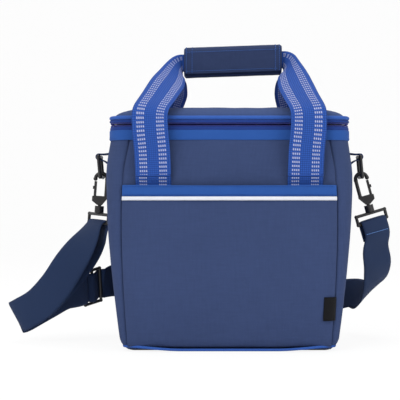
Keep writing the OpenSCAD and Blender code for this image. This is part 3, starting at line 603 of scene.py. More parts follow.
def metal(name, tint, roughness=0.3):
    """A die-cast or drawn metal with a faint brushed grain."""
    g = Graph(name, roughness, 0, 1.0, 0, 0.5)
    p = g.place()
    fine = g.noise(p, 0.0005, 3)
    base = g.ramp(g.noise(p, 0.004, 2), scaled(tint, 0.85), scaled(tint, 1.1))
    return g.finish(base, g.bump(fine, 0.00004, 0.5), g.math("MULTIPLY_ADD", fine, 0.2, roughness - 0.08))


def film(name, tint):
    """Silver-coated liner film: crinkled, with a soft metallic gloss and a quilted emboss."""
    g = Graph(name, 0.36, 0, 0.55, 0, 0.5)
    p = g.place()
    u, v = g.uv()
    folds = g.noise(p, 0.022, 5, 0.62)
    emboss = g.checks(g.plus(u, v), g.math("SUBTRACT", u, v), 0.0035, 0.0035)
    # Painted shade: the hollows of the crinkles are darker, from the same noise as their bump.
    base = g.ramp(folds, scaled(tint, 0.78), scaled(tint, 1.08))
    soft = g.bump(folds, 0.003, 0.8)
    return g.finish(base, g.bump(emboss, 0.0002, 0.6, soft))


def foam(name, tint):
    """Closed-cell foam."""
    g = Graph(name, 0.85)
    cells = g.noise(g.place(), 0.0016, 2)
    # Painted shade: the pits between the cells are darker, from the same noise as their bump.
    return g.finish(g.ramp(cells, scaled(tint, 0.86), tint), g.bump(cells, 0.0003, 0.7))


NAVY = colour(57, 72, 111)
NAVY_DARK = colour(48, 61, 95)
ROYAL = colour(46, 92, 172)
HANDLE = colour(45, 84, 168)
STRAP = colour(42, 60, 96)
THREAD = colour(74, 118, 200)

body_cloth = woven("body_cloth", NAVY)
grip_cloth = woven("grip_cloth", NAVY_DARK, 0.0008)
lid_cloth = woven("lid_cloth", colour(62, 80, 124))
band_tape = ribbed("band_tape", ROYAL, 0.0009, 0.00015)
royal_cord = corded("royal_cord", colour(54, 96, 180))
white_cord = corded("white_cord", colour(238, 240, 248))
zip_tape_cloth = ribbed("zip_tape_cloth", colour(38, 66, 142), 0.0007, 0.0001)
# Painted light: the coil is given a brighter colour than its own, to lift the shade in its recess between
# the tapes.
coil_nylon = plastic("coil_nylon", colour(62, 66, 150), 0.45)
handle_cloth = dashed_webbing("handle_cloth", HANDLE, colour(184, 190, 230), 0.038)
handle_plain = ribbed("handle_plain", HANDLE, 0.0011, 0.0002)
strap_cloth = ribbed("strap_cloth", STRAP, 0.0012, 0.0003)
tab_cloth = ribbed("tab_cloth", colour(38, 62, 112), 0.0012, 0.0003)
label_cloth = ribbed("label_cloth", colour(20, 20, 23), 0.0005, 0.00006, 0.02, 0.6)
thread_blue = corded("thread_blue", THREAD, 0.0006, 0.5)
thread_light = corded("thread_light", colour(120, 168, 240), 0.0006, 0.5)
thread_royal = corded("thread_royal", colour(40, 78, 156), 0.0006, 0.5)
thread_navy = corded("thread_navy", colour(44, 58, 94), 0.0006, 0.5)
black_plastic = plastic("black_plastic", colour(34, 33, 35))
black_metal = metal("black_metal", colour(58, 58, 62), 0.36)
bright_metal = metal("bright_metal", colour(200, 202, 206))
liner_film = film("liner_film", colour(206, 209, 214))
white_foam = foam("white_foam", colour(240, 240, 236))
board_cloth = plastic("board_cloth", colour(58, 62, 74), 0.6)


# ---- Walls ----------------------------------------------------------------------------------


def pinch(run):
    """How far each point of a run is drawn in by the seams at its two ends."""
    d = lengths(run)
    near = np.minimum(d, d[-1] - d)
    return 1.1 * np.exp(-(near / 2.2) ** 2)


def wall_rows(run_of, top, seed, puff, sign):
    """Points of one wall, with soft fullness between its seams."""
    rows, us, vs = [], [], []
    for z, inset in wall_levels(top):
        run, ways = run_of(half_w(z), inset, sign, z)
        d = lengths(run)
        near = np.minimum(d, d[-1] - d)
        soft = np.clip(near / 25, 0, 1) * np.clip((top - z) / 25, 0, 1) * np.clip(z / 30, 0, 1)
        folds = np.array([ripple((x + 0.7 * z, y, 0.6 * z - 0.4 * x), 26, seed + 20) for x, y in run])
        full = puff * (ripples(run, z, 48, seed) + 0.6) - 1.1 * np.maximum(0, folds - 0.15)
        out = full * soft - pinch(run) * min(1, z / 12)
        rows.append(at_height(run + ways * out[:, None], z))
        us.append(d)
        vs.append(z + inset)
    return rows, us, vs


def make_walls():
    """The outer cloth of the four walls."""
    walls = (("front", "front_panel", front_run, 1, 3.1, 1.5),
             ("back", "back_panel", front_run, -1, 7.7, 1.5),
             ("side_right", "side_panel_right", side_run, 1, 5.2, 0.5),
             ("side_left", "side_panel_left", side_run, -1, 9.4, 0.5))
    for name, node, run_of, sign, seed, puff in walls:
        shape = wall_rows(run_of, SKIN_TOP, seed, puff, sign)
        piece = sheet_piece("outer_" + name, *shape, SKIN_T, body_cloth)
        dress(piece, "root", "navy", node)
    # The turned-in allowance of each upright seam, in the darker grip cloth: painted shade down the seam's
    # crease
    rows = []
    for side, face in ((-1, -1), (-1, 1), (1, -1), (1, 1)):
        points = [(side * (half_w(z) - corner(z)), face * (HALF_D - inset - 2.3), z)
                  for z, inset in wall_levels(SKIN_TOP, 40)[3:]]
        rows.append(tube(points, 1.1, 8))
    dress(mesh_piece("wall_seam_allowances", *merged(rows), grip_cloth), "root", "navy")


def make_base():
    """The base cloth, the cord round it and the welt between them. The cord rises at the front
    corners and stands out between the corners."""
    z = low("base_panel")[2] + SKIN_T + PLY_GAP
    run = ring_run(BASE_HALF, BASE_ROUND, 0)[0]
    shares = (1.0, 0.97, 0.85, 0.6, 0.3, 0.002)
    rows = [at_height(run * s, z + 0.5 * (s < 0.9)) for s in shares]
    u = [lengths(run) * s for s in shares]
    piece = sheet_piece("base_cloth", rows, u, [40 * (1 - s) for s in shares], SKIN_T, body_cloth, True)
    dress(piece, "root", "navy", "base_panel")
    centre, radius = middle("base_piping")[2], half_size("base_piping")[2]
    points = []
    for k, p in enumerate(ring_run(BASE_HALF, 0, 0)[0][:-1]):
        near = max(0.0, 1 - math.hypot(abs(p[0]) - BASE_HALF, p[1] + HALF_D) / CORD_REACH)
        rise = centre + CORD_LIFT * near ** 1.5 * (3 - 2 * near)
        inset = BASE_ROUND - math.sqrt(BASE_ROUND ** 2 - (BASE_ROUND - rise) ** 2)
        from_corner = math.hypot(abs(p[0]) - BASE_HALF, abs(p[1]) - HALF_D)
        share = min(1.0, max(0.0, (from_corner - 8) / 25))
        out = (CORD_OUT if p[1] < 8 - HALF_D else 0.35 * CORD_OUT) * share
        at = ring_run(half_w(rise), inset + 0.4 - out, rise)[0][k]
        points.append((at[0], at[1], rise))
    under = ring_run(BASE_HALF, BASE_ROUND + 2, 0)[0][:-1]
    rows = [at_height(under, SKIN_T + 0.4), np.array(points)]
    welt = mesh_piece("base_welt", *grid(rows, [lengths(run)] * 2, [0, 12], around=True), body_cloth)
    dress(welt, "root", "navy")
    dress(tube_piece("base_cord", points, 0.85 * radius, royal_cord, 12, True), "root", "blue_trim",
          "base_piping")


# ---- Top band and zip -------------------------------------------------------------------------


def make_band():
    """The binding round the mouth: a ribbed tape folded over the edge and stitched down."""
    node_low, node_high = low("top_band"), high("top_band")
    out = node_high[0] - MOUTH_HALF
    profile = [(node_low[2], -0.3), (node_low[2] + 0.15, out - 0.3), (node_low[2] + 0.8, out)]
    profile += [(z, out) for z in np.linspace(node_low[2] + 2.4, node_high[2] - 1.6, 5)]
    profile += [(node_high[2] - 0.5, out - 0.25), (node_high[2], out - 0.9), (node_high[2] - 0.1, -0.4)]
    rows, us = [], []
    run, ways = ring_run(MOUTH_HALF)
    for z, off in profile:
        wave = 0.35 * ripples(run, z * 0.5, 21, 2.2) * (off > 0)
        rows.append(at_height(run + ways * (off + wave)[:, None], z + 0.3 * ripples(run, 0, 34, 6)))
        us.append(lengths(run))
    shape = crosswise(grid(rows, us, lengths(np.array(profile))))
    piece = thicken(mesh_piece("mouth_band", *shape, band_tape), 0.5)
    dress(piece, "root", "blue_trim", "top_band")
    run, ways = ring_run(MOUTH_HALF + out + 0.2)
    row = stitch_row(at_height(run, node_low[2] + 1.9), at_height(ways, 0), 3.2, 2.3, 0.26)
    seam = mesh_piece("mouth_band_stitches", *row, thread_royal)
    dress(seam, "root", "blue_trim")


def coil_row(z0, z1):
    """A zip's nylon coil: one turn after another along the mouth, round the tape's edge."""
    out = high("zip_coil_lower")[0] - MOUTH_HALF
    run, ways = mouth_run(MOUTH_HALF)
    d = lengths(run)
    pitch, per_turn = 1.5, 7
    count = int(d[-1] / pitch) * per_turn
    radius_z = (z1 - z0) / 2 - 0.3
    radius_n = (out + 1.2) / 2 - 0.28
    points = []
    for k in range(count):
        a = 2 * math.pi * k / per_turn
        at = pitch * k / per_turn
        x, y = np.interp(at, d, run[:, 0]), np.interp(at, d, run[:, 1])
        n = unit([np.interp(at, d, ways[:, 0]), np.interp(at, d, ways[:, 1])])
        off = radius_n * math.cos(a) - 0.4
        points.append((x + n[0] * off, y + n[1] * off, (z0 + z1) / 2 + radius_z * math.sin(a)))
    return points


# How far each zip tape stands out halfway between its edges
TAPE_BOW = {"lower": 0.9, "upper": 1.5}


def make_zip():
    """The two halves of the zip: a coil on its tape, on the body and on the lid."""
    for name, node, body in (("lower", "zip_coil_lower", "root"), ("upper", "zip_coil_upper", "lid")):
        z0, z1 = low(node)[2], high(node)[2]
        coil = tube_piece("zip_coil_" + name + "_turns", coil_row(z0, z1), 0.33, coil_nylon, 5)
        dress(coil, body, "zip_coil", node)
        tape = "zip_tape_" + name
        z0, z1 = low(tape)[2], high(tape)[2]
        rows, us = [], []
        for z in np.linspace(z0, z1, 9):
            bow = TAPE_BOW[name] * math.sin(math.pi * (z - z0) / (z1 - z0)) ** 0.7
            run = mouth_run(MOUTH_HALF + bow)[0]
            rows.append(at_height(run, z))
            us.append(lengths(run))
        shape = crosswise(grid(rows, us, np.linspace(0, z1 - z0, 9)))
        dress(thicken(mesh_piece(tape + "_cloth", *shape, zip_tape_cloth), 0.7), body, "zip_tape", tape)


# ---- Lid --------------------------------------------------------------------------------------


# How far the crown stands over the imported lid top, clear of its foam
CROWN_LIFT = 0.35


def lid_outline(half_x, half_y):
    """The outline of the lid, as wide and as deep as given."""
    return ring_run(half_x)[0] * np.array([1, half_y / HALF_D])


def make_lid():
    """The padded crown, its cord and its lining."""
    box_low, box_high = low("lid_top"), high("lid_top")
    edge_z, rise = box_low[2], box_high[2] - box_low[2]
    half_x, half_y = box_high[0], box_high[1]
    outline = lid_outline(half_x, half_y)
    rows, us = [], []
    shares = [1.0, 0.995, 0.98, 0.96, 0.93, 0.89, 0.84, 0.77, 0.68, 0.57, 0.44, 0.3, 0.15, 0.05, 0.001]
    for s in shares:
        z = edge_z + rise * math.sqrt(1 - s ** 6)
        points = outline[:-1] * s
        sag = (1.1 * ripples(points, 0, 46, 4.4) + 0.5 * ripples(points, 9, 17, 1.4)) * min(1, (1 - s) * 9)
        rows.append(at_height(points, z + CROWN_LIFT + np.maximum(sag, -CROWN_LIFT)))
        us.append(outline[:, 0] * s)
    shape = from_above(grid(rows, us, list(range(len(rows))), around=True))
    piece = thicken(mesh_piece("lid_crown", *shape, lid_cloth), SKIN_T)
    dress(piece, "lid", "navy", "lid_top")

    pipe_high, centre, radius = high("lid_piping"), middle("lid_piping")[2], half_size("lid_piping")[2]
    outline = lid_outline(pipe_high[0] - radius, pipe_high[1] - radius)
    points = at_height(outline, centre + 0.35 * ripples(outline, centre, 30, 8.8))[:-1]
    dress(tube_piece("lid_cord", points, radius, royal_cord, 14, True), "lid", "blue_trim", "lid_piping")

    lining_low, lining_high = low("lid_liner"), high("lid_liner")
    outline = lid_outline(lining_high[0], lining_high[1])
    rows = []
    for s in np.linspace(1, 0.002, 24):
        points = outline[:-1] * s
        crinkle = 0.5 * np.abs(ripples(points, 3, 15, 3.3)) * min(1, (1 - s) * 8)
        rows.append(at_height(points, lining_low[2] + 0.1 - crinkle))
    shape = from_above(grid(rows, [outline[:, 0]] * 24, list(range(24)), around=True, flip=True))
    piece = thicken(mesh_piece("lid_lining", *shape, liner_film), lining_high[2] - lining_low[2] - 0.2)
    dress(piece, "lid", "liner", "lid_liner")


def make_hinge_band():
    """The fold of cloth that joins the lid to the back wall."""
    box_low, box_high = low("lid_hinge_band"), high("lid_hinge_band")
    z0, z1, top = box_low[2], box_high[2], low("lid_piping")[2] + 1.2
    rows, xs = [], np.linspace(box_low[0], box_high[0], 65)
    heights = np.linspace(z0 - 1, top, 9)
    for z in heights:
        share = (z - z0) / (top - z0)
        bulge = 0.9 * math.sin(math.pi * min(max(share, 0), 1))
        y = [HALF_D - 0.3 + bulge + 0.25 * ripple((x, 0, z), 19, 5) for x in xs]
        rows.append(np.column_stack([xs, y, np.full(len(xs), z)]))
    piece = sheet_piece("lid_hinge_cloth", rows, xs - xs[0], heights - z0, 0.8, body_cloth, True)
    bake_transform(piece)
    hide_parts("lid_hinge_band")


# ---- Liner --------------------------------------------------------------------------------------


def make_liner():
    """The heat-sealed lining: crinkled film down the walls and over the floor."""
    box_low, box_high = low("inner_liner"), high("inner_liner")
    rows, us, vs = [], [], []
    levels = wall_levels(box_high[2], 30, LINER_DEPTH)
    run = ring_run(half_w(levels[0][0]), levels[0][1], levels[0][0])[0]
    floor_z = box_low[2] + 1.0
    for s in (0.002, 0.3, 0.6, 0.85):
        rows.append(at_height(run * s, floor_z + 0.25 + 0.25 * ripples(run * s, 0, 14, 2))[:-1])
        us.append(lengths(run) * s)
        vs.append(80 * s)
    for z, inset in levels:
        run, ways = ring_run(half_w(z), inset, z)
        crinkle = 0.55 * ripples(run, z, 16, 6.1) - 0.5
        z = max(z, floor_z)
        rows.append(at_height(run + ways * crinkle[:, None], z)[:-1])
        us.append(lengths(run))
        vs.append(80 + z)
    for inset in (LINER_DEPTH - 0.5, LINER_DEPTH - 3, 3.5, 1.5):
        run = ring_run(MOUTH_HALF, inset)[0]
        rows.append(at_height(run, box_high[2])[:-1])
        us.append(lengths(run))
        vs.append(vs[-1] + 2)
    shape = grid(rows, us, vs, around=True, flip=True)
    piece = thicken(mesh_piece("inner_lining", *shape, liner_film), 0.6)
    dress(piece, "root", "liner", "inner_liner")


# ---- Front pocket --------------------------------------------------------------------------------


HEM_Z = low("pocket_hem")[2]
POCKET_Z = high("pocket_hem")[2]
POCKET_DEPTH = -HALF_D - low("pocket_hem")[1] - 2.0


def pocket_off(share, z):
    """How far the pocket stands off the wall."""
    return PLY_GAP + POCKET_DEPTH * (1 - share ** 12) * (1 - (1 - min(z / HEM_Z, 1)) ** 6)


def pocket_point(share, z, more):
    """A point of the pocket, at a share of the way across, following the round lower edge."""
    off = pocket_off(share, z) + more
    x = (half_w(z) - corner(z) + 0.3) * share
    y = -HALF_D - off
    if z < BASE_ROUND:
        radius = BASE_ROUND + off
        a = math.acos(min(1, (BASE_ROUND - z) / BASE_ROUND))
        return (x, -HALF_D + BASE_ROUND - radius * math.sin(a), BASE_ROUND - radius * math.cos(a))
    return (x, y, z)


def pocket_shares(n=57):
    share = np.linspace(-1, 1, n)
    return np.sign(share) * (1 - (1 - np.abs(share)) ** 1.6)


def make_pocket():
    """The front pocket: its cloth, the ribbed hem with its stitches, and the white cord."""
    shares = pocket_shares()
    heights = np.concatenate([np.linspace(6.2, 14, 5), np.linspace(16, HEM_Z - 0.2, 30)])
    rows = []
    for z in heights:
        row = []
        for s in shares:
            x, y, zz = pocket_point(s, z, SKIN_T)
            free = (1 - s ** 8) * min(1, (z - 6) / 40)
            swell = 1.3 * ripple((x, 0, z), 62, 8) + 0.6 * ripple((x + 0.5 * z, 0, 0.5 * z), 24, 3)
            row.append((x, y - free * swell, zz))
        rows.append(row)
    us = [np.array([p[0] for p in r]) for r in rows]
    piece = sheet_piece("pocket_cloth", rows, us, heights, SKIN_T, body_cloth)
    dress(piece, "root", "navy", "front_pocket")

    out = 1.8
    profile = [(HEM_Z + 0.1, out - 0.5), (HEM_Z + 0.5, out), (HEM_Z + 3, out + 0.12), (HEM_Z + 6, out + 0.1),
               (HEM_Z + 9, out + 0.12), (POCKET_Z - 0.5, out), (POCKET_Z, out - 0.6), (POCKET_Z - 0.1, 0.2),
               (POCKET_Z - 4, 0.0), (HEM_Z + 0.4, 0.0)]
    rows = []
    for z, more in profile:
        row = []
        for s in shares:
            x, y, zz = pocket_point(s, z, more)
            free = 1 - s ** 8
            droop = free * (0.35 * ripple((x, 0, 0), 40, 5) - 1.1 * (0.55 + 0.45 * math.cos(math.pi * s)))
            row.append((x, y - free * 0.35 * ripple((x, 0, z), 24, 3), zz + droop * 0.5))
        rows.append(row)
    us = [np.array([p[0] for p in r]) for r in rows]
    piece = mesh_piece("pocket_hem_tape", *crosswise(grid(rows, us, lengths(np.array(profile)))), band_tape)
    dress(piece, "root", "blue_trim", "pocket_hem")
    for k, z in enumerate((HEM_Z + 1.6, POCKET_Z - 1.8)):
        points = np.array([pocket_point(s, z, out + 0.2) for s in shares[2:-2]])
        row = stitch_row(points, (0, -1, 0), 3.0, 2.2, 0.24)
        seam = mesh_piece(f"pocket_hem_stitches_{k + 1}", *row, thread_royal)
        dress(seam, "root", "blue_trim")

    centre, half = middle("pocket_piping")[2], half_size("pocket_piping")[2]
    rows = []
    for a in np.linspace(0, 2 * math.pi, 12, endpoint=False):
        rows.append([pocket_point(s, centre + half * math.sin(a), SKIN_T + 1.35 - 1.15 * math.cos(a))
                     for s in shares])
    rows = np.transpose(np.array(rows), (1, 0, 2))
    v = shares * half_w(centre)
    verts, faces, uvs = grid(rows, np.linspace(0, 11, 13), v, around=True, flip=True)
    for ring in (0, len(shares) - 1):
        loop = [ring * 12 + k for k in range(12)]
        faces.append(loop if ring == 0 else loop[::-1])
        uvs.extend([(0, 0)] * 12)
    dress(mesh_piece("pocket_cord", verts, faces, uvs, white_cord), "root", "white_piping", "pocket_piping")


def make_label():
    """A bare folded label caught in the pocket seam."""
    box_low, box_high = low("label_tab"), high("label_tab")
    tilt, centre = 0.05, middle("label_tab")[2]
    rows = []
    for z in np.linspace(box_low[2], box_high[2], 9):
        row = []
        for k, x in enumerate(np.linspace(box_low[0], box_high[0], 9)):
            y = box_low[1] + (box_high[1] - box_low[1]) * (k / 8) ** 3 - 0.15 * math.sin(k * 0.8)
            row.append((x + (z - centre) * tilt, y, z))
        rows.append(row)
    u = np.linspace(0, box_high[0] - box_low[0], 9)
    shape = crosswise(grid(rows, u, np.linspace(0, box_high[2] - box_low[2], 9)))
    dress(thicken(mesh_piece("seam_label", *shape, label_cloth), 0.8), "root", "label", "label_tab")


# ---- Handles ------------------------------------------------------------------------------------


WEB_W, WEB_T = 38.0, 1.6
GRIP_Z = 320.0
GRIP_L, GRIP_SHIFT = 2 * half_size("grip_flap")[0], middle("grip_flap")[0]
GRIP_D, GRIP_H = high("grip_wrap")[1] * 2, 34.0
LEG_X = high("handle_anchors_front")[0] - WEB_W / 2
LEG_Y = HALF_D + 6.5
SWING_Z = 188.0
RUN_Y = 3.0
LEG_BOW = 9.5
GRIP_TILT = 0.035


def tilted(points):
    """Points near the grip, raised on the right and lowered on the left."""
    points = np.array(points, float)
    near = np.clip((points[..., 2] - GRIP_Z + GRIP_H) / GRIP_H * 2, 0, 1)
    along = np.clip(points[..., 0], -GRIP_L / 2, GRIP_L / 2)
    points[..., 2] += GRIP_TILT * along * near ** 2 * (3 - 2 * near)
    return points


def mirror_x(path):
    return [np.concatenate([[-p[0], p[1], p[2], -p[3], p[4], p[5]], p[6:]]) for p in path]


def leg(side):
    """One leg of the front handle's webbing, from its fold to the middle of the grip, on the
    right (side 1) or mirrored from the left (side -1). Each point holds a place, the
    direction of the width, the width and the thickness."""
    run_end = GRIP_L / 2 + side * GRIP_SHIFT + 0.8
    lower = [(0, 0, 0), (0.08, 0.68, 0.2), (0.3, 1, 0.386), (0.25, 0.63, 0.53)]
    path = [(LEG_X + a * LEG_BOW, -LEG_Y - b * LEG_BOW, mix(SWING_Z, GRIP_Z, c), 1, 0, 0, WEB_W, WEB_T)
            for a, b, c in lower]
    upper = [(mix(LEG_X, run_end, 0.2), 0.89, 0.658, (1, 0.15, 0.2), 1, 1),
             (mix(LEG_X, run_end, 0.47), 0.61, 0.778, (0.92, 0.2, 0.4), 0.97, 1),
             (mix(LEG_X, run_end, 0.64), 0.33, 0.881, (0.75, 0.25, 0.65), 0.8, 1.2),
             (run_end + 7.4, 0.14, 0.96, (0.4, 0.12, 0.9), 0.6, 1.5),
             (run_end + 3.8, 0.052, 0.995, (0.1, 0, 1), 0.52, 1.8)]
    path += [(x, -b * HALF_D, mix(SWING_Z, GRIP_Z, c), *way, wide * WEB_W, thick * WEB_T)
             for x, b, c, way, wide, thick in upper]
    path += [(x, -RUN_Y, GRIP_Z, 0, 0, 1, WEB_W / 2, 2 * WEB_T) for x in (run_end, run_end - 8, 0)]
    return curve(path, 8)


def handle_path(sign):
    """A whole handle's webbing, in front of the grip (sign 1) or behind it (sign -1)."""
    whole = tilted(list(leg(1)) + mirror_x(leg(-1)[::-1])[1:])
    return whole if sign > 0 else whole * np.array([1, -1, 1, 1, -1, 1, 1, 1])


def make_handles():
    """The webbing of the two carrying handles and its sewn ends."""
    for name, sign in (("front", 1), ("back", -1)):
        path = handle_path(sign)
        shape = webbing(path, cup=0.5 * sign, columns=17)
        piece = mesh_piece("handle_" + name + "_webbing", *shape, handle_cloth)
        dress(piece, name + "_handle", "handle_web", "handle_" + name)
        make_anchors(name, sign)


def make_anchors(name, sign):
    """The sewn ends of a handle, with a crossed box of stitches on each."""
    flat_y = HALF_D + WEB_T / 2 + PLY_GAP
    foot = low("handle_anchors_" + name)[2]
    for side in (-1, 1):
        route = [(flat_y, foot), (flat_y, foot + 25), (flat_y, SWING_Z - 15),
                 (flat_y + 0.6, SWING_Z - 7.5), (LEG_Y - 0.9, SWING_Z - 1.3)]
        path = [(side * LEG_X, -y * sign, z, 1, 0, 0, WEB_W, WEB_T) for y, z in route]
        word = "left" if side < 0 else "right"
        piece = mesh_piece(f"anchor_{name}_{word}", *webbing(curve(path, 5), columns=13), handle_cloth)
        dress(piece, "root", "handle_web", *(["handle_anchors_" + name] if side > 0 else []))
        y = -(flat_y + WEB_T / 2) * sign
        x0, x1 = side * LEG_X - WEB_W / 2 + 4, side * LEG_X + WEB_W / 2 - 4
        z0, z1 = foot + 3.5, min(foot + 33, 172)
        corners = [(x0, y, z0), (x1, y, z0), (x1, y, z1), (x0, y, z1), (x0, y, z0), (x1, y, z1)]
        lines = [(corners[k], corners[k + 1]) for k in range(5)] + [((x1, y, z0), (x0, y, z1))]
        rows = [stitch_row(np.linspace(a, b, 12), (0, -sign, 0), 2.8, 2.0, 0.26) for a, b in lines]
        seam = mesh_piece(f"anchor_stitches_{name}_{word}", *merged(rows), thread_royal)
        dress(seam, "root", "handle_web")
    # The fold of webbing at each leg's foot
    rows = []
    for side in (-1, 1):
        centre = np.array([side * LEG_X, -LEG_Y * sign, SWING_Z])
        xs = np.linspace(-WEB_W / 2 + 0.4, WEB_W / 2 - 0.4, 9)
        rows.append(tube([centre + (x, 0, 0) for x in xs], 1.2, 12))
    dress(mesh_piece(f"handle_{name}_folds", *merged(rows), handle_plain), name + "_handle", "handle_web")


# ---- Grip ---------------------------------------------------------------------------------------


GRIP_ROUND, GRIP_PAD, FLAP_SEAM = 6.5, 2.7, 2.6
GRIP_TOP, GRIP_BOTTOM = GRIP_Z + GRIP_H / 2, GRIP_Z - GRIP_H / 2
FLAP_AXIS_Z = GRIP_TOP - FLAP_SEAM
FLAP_EDGE_Z = GRIP_Z - 10.2


def rounded_loop(half_y, half_z, radius, steps=7):
    """A rounded rectangle in Y and Z about the middle of the grip, counter-clockwise from below."""
    y, z = half_y - radius, half_z - radius
    corners = ((y, -z, -90), (y, z, 0), (-y, z, 90), (-y, -z, 180))
    return np.concatenate([arc(cy, cz, radius, a, a + 90, steps)[0] for cy, cz, a in corners])


def resampled(points, count):
    points = np.asarray(points, float)
    d = lengths(points)
    at = np.linspace(0, d[-1], count)
    return np.stack([np.interp(at, d, points[:, c]) for c in range(points.shape[1])], 1)


def padded_shell(name, outer, inner, x0, x1, material, seed, columns=41):
    """A padded sheet: a profile in Y and Z with an outer and an inner face, drawn along X,
    with soft ends and slight creases across it."""
    count = 34
    out, inn = resampled(outer, count), resampled(inner, count)
    core = (out + inn) / 2
    xs = x0 + (x1 - x0) * (1 - np.cos(np.linspace(0, math.pi, columns))) / 2
    xs = 0.35 * xs + 0.65 * np.linspace(x0, x1, columns)
    rows, n = [], 2 * count
    for x in xs:
        end = min(x - x0, x1 - x) / 2.2
        full = math.sqrt(max(0.0, 1 - max(0.0, 1 - end) ** 2)) * 0.75 + 0.25
        ring = []
        for k in range(count):
            y, z = out[k]
            puff = 0.55 * ripple((x, y, z), 15, seed) + 0.4 * ripple((x * 2, y, z), 9, seed)
            edge = min(k, count - 1 - k) / 3
            shrink = min(1, edge) ** 0.5
            ring.append(core[k] + (out[k] - core[k]) * full * (1 - 0.10 * (1 - shrink) + 0.10 * puff))
        back = [core[k] + (inn[k] - core[k]) * full for k in range(count)][::-1]
        rows.append([(x, p[0], p[1]) for p in ring + back])
    d = lengths(out)
    u = np.concatenate([d, d[::-1] + 40, [0]])
    verts, faces, uvs = grid(tilted(rows), u, xs - x0, around=True, flip=True)
    for ring, order in ((0, 1), (columns - 1, -1)):
        for k in range(count - 1):
            loop = [ring * n + k, ring * n + k + 1, ring * n + n - 2 - k, ring * n + n - 1 - k]
            faces.append(loop[::order])
            uvs.extend([(0, 0)] * 4)
    return mesh_piece(name, verts, faces, uvs, material)


def make_grip():
    """The padded grip round the two handles: a flap that closes over a wrap."""
    x0, x1 = low("grip_flap")[0], high("grip_flap")[0]
    half_y, edge = GRIP_D / 2, FLAP_EDGE_Z
    centre = np.array([0, GRIP_Z])
    loop = rounded_loop(half_y, GRIP_H / 2, GRIP_ROUND) + centre
    hole = rounded_loop(half_y - GRIP_PAD, GRIP_H / 2 - GRIP_PAD - 1.6, 4.2) + centre
    # The flap: from the seam at the back, over the top and down the front
    front_out = list(loop[11:25]) + [(-half_y, edge - 0.6), (-half_y + 0.4, edge - 4.2)]
    front_in = list(hole[11:25]) + [(-half_y + GRIP_PAD, edge + 0.4), (-half_y + GRIP_PAD - 0.5, edge + 0.1)]
    flap = padded_shell("grip_flap_pad", front_out, front_in, x0, x1, grip_cloth, 3.0)
    dress(flap, "grip_flap", "grip", "grip_flap")
    # The wrap: the lip at the front, the underside and the rear wall
    rear_top = FLAP_AXIS_Z - 3.4
    rear_out = [(-half_y + GRIP_PAD + 0.4, edge - 1.0), (-half_y + 3.2, GRIP_BOTTOM + 2.2),
                (-half_y + 6.5, GRIP_BOTTOM + 0.1)]
    rear_out += list(loop[0:7]) + [(half_y, z) for z in np.linspace(GRIP_BOTTOM + 8, rear_top, 6)]
    rear_in = [(-half_y + GRIP_PAD + 1.4, edge - 0.9)]
    rear_in += [(y, edge - 0.8) for y in (-half_y + 6, 0, half_y - 5)]
    rear_in += [(half_y - GRIP_PAD, z) for z in np.linspace(edge, rear_top, 6)]
    wrap = padded_shell("grip_wrap_pad", rear_out, rear_in, x0, x1, grip_cloth, 6.0)
    dress(wrap, "back_handle", "grip", "grip_wrap")
    # The roll at the seam that the flap turns on
    roll = tilted([(x, half_y - FLAP_SEAM, FLAP_AXIS_Z) for x in np.linspace(x0 + 0.3, x1 - 0.3, 40)])
    seam = tube_piece("grip_flap_seam", roll, 1.9, grip_cloth, 12)
    dress(seam, "back_handle", "grip")
    make_grip_stitches(x0, x1)


def upright_stitches(x):
    """A row of stitches up the front of the flap, over its rounded edge and across its top."""
    front, lift = -GRIP_D / 2, 0.3
    y_mid, z_mid = front + GRIP_ROUND, GRIP_TOP - GRIP_ROUND
    points = [(x, front - 0.25, z) for z in np.linspace(FLAP_EDGE_Z - 3, GRIP_TOP - 4, 14)
              if z < z_mid - 0.1]
    points += [(x, y_mid - (GRIP_ROUND + lift) * math.cos(a), z_mid + (GRIP_ROUND + lift) * math.sin(a))
               for a in np.radians(np.linspace(0, 90, 8))]
    points += [(x, y, GRIP_TOP + lift) for y in np.linspace(front + 8, -front - 7, 6)]
    normals = []
    for _, y, z in points:
        n = np.array([0, min(0.0, y - y_mid), max(0.0, z - z_mid)])
        normals.append(unit(n) if np.linalg.norm(n) > 0.1 else np.array([0, -1.0, 0]))
    return stitch_row(tilted(points), normals, 2.6, 1.9, 0.3)


def make_grip_stitches(x0, x1):
    """Light stitches round the flap: double rows at its ends, one above its edge, one at its top."""
    rows = [upright_stitches(x) for x in (x0 + 2.6, x0 + 9.2, x1 - 7.4, x1 - 3.0)]
    for z, lift in ((FLAP_EDGE_Z - 0.5, 0.25), (GRIP_TOP - 6.0, 0.35)):
        points = [(x, -GRIP_D / 2 - lift, z) for x in np.linspace(x0 + 2.5, x1 - 3, 50)]
        rows.append(stitch_row(tilted(points), (0, -1, 0), 2.6, 1.9, 0.3))
    dress(mesh_piece("grip_flap_stitches", *merged(rows), thread_blue), "grip_flap", "grip")


# ---- Side tabs and strap --------------------------------------------------------------------------


TAB_W, TAB_L = 25.0, 40.0
RING_R = 1.9
STRAP_W, STRAP_T = 38.0, 1.6
STRAP_BAR_R = 1.8
HOOK_L, BARREL_H, STEM_L = 33.0, 8.0, 11.0
RING_DROP = 23.0
RING_LEAN, HOOK_LEAN, BAR_TURN = (-5.0, 5.0), (4.0, 15.0), (55.0, 35.0)
TAB_OUT = 15.0
TAB_X = BODY_HALF + TAB_OUT
TAB_Z = 211.0
STRAP_BAR_Z = -HOOK_L - BARREL_H - STEM_L
ADJUSTER_PITCH = 10.5


def turned(v, degrees):
    """A direction turned about the Y axis."""
    a = math.radians(degrees)
    return np.array([v[0] * math.cos(a) + v[2] * math.sin(a), v[1], v[2] * math.cos(a) - v[0] * math.sin(a)])


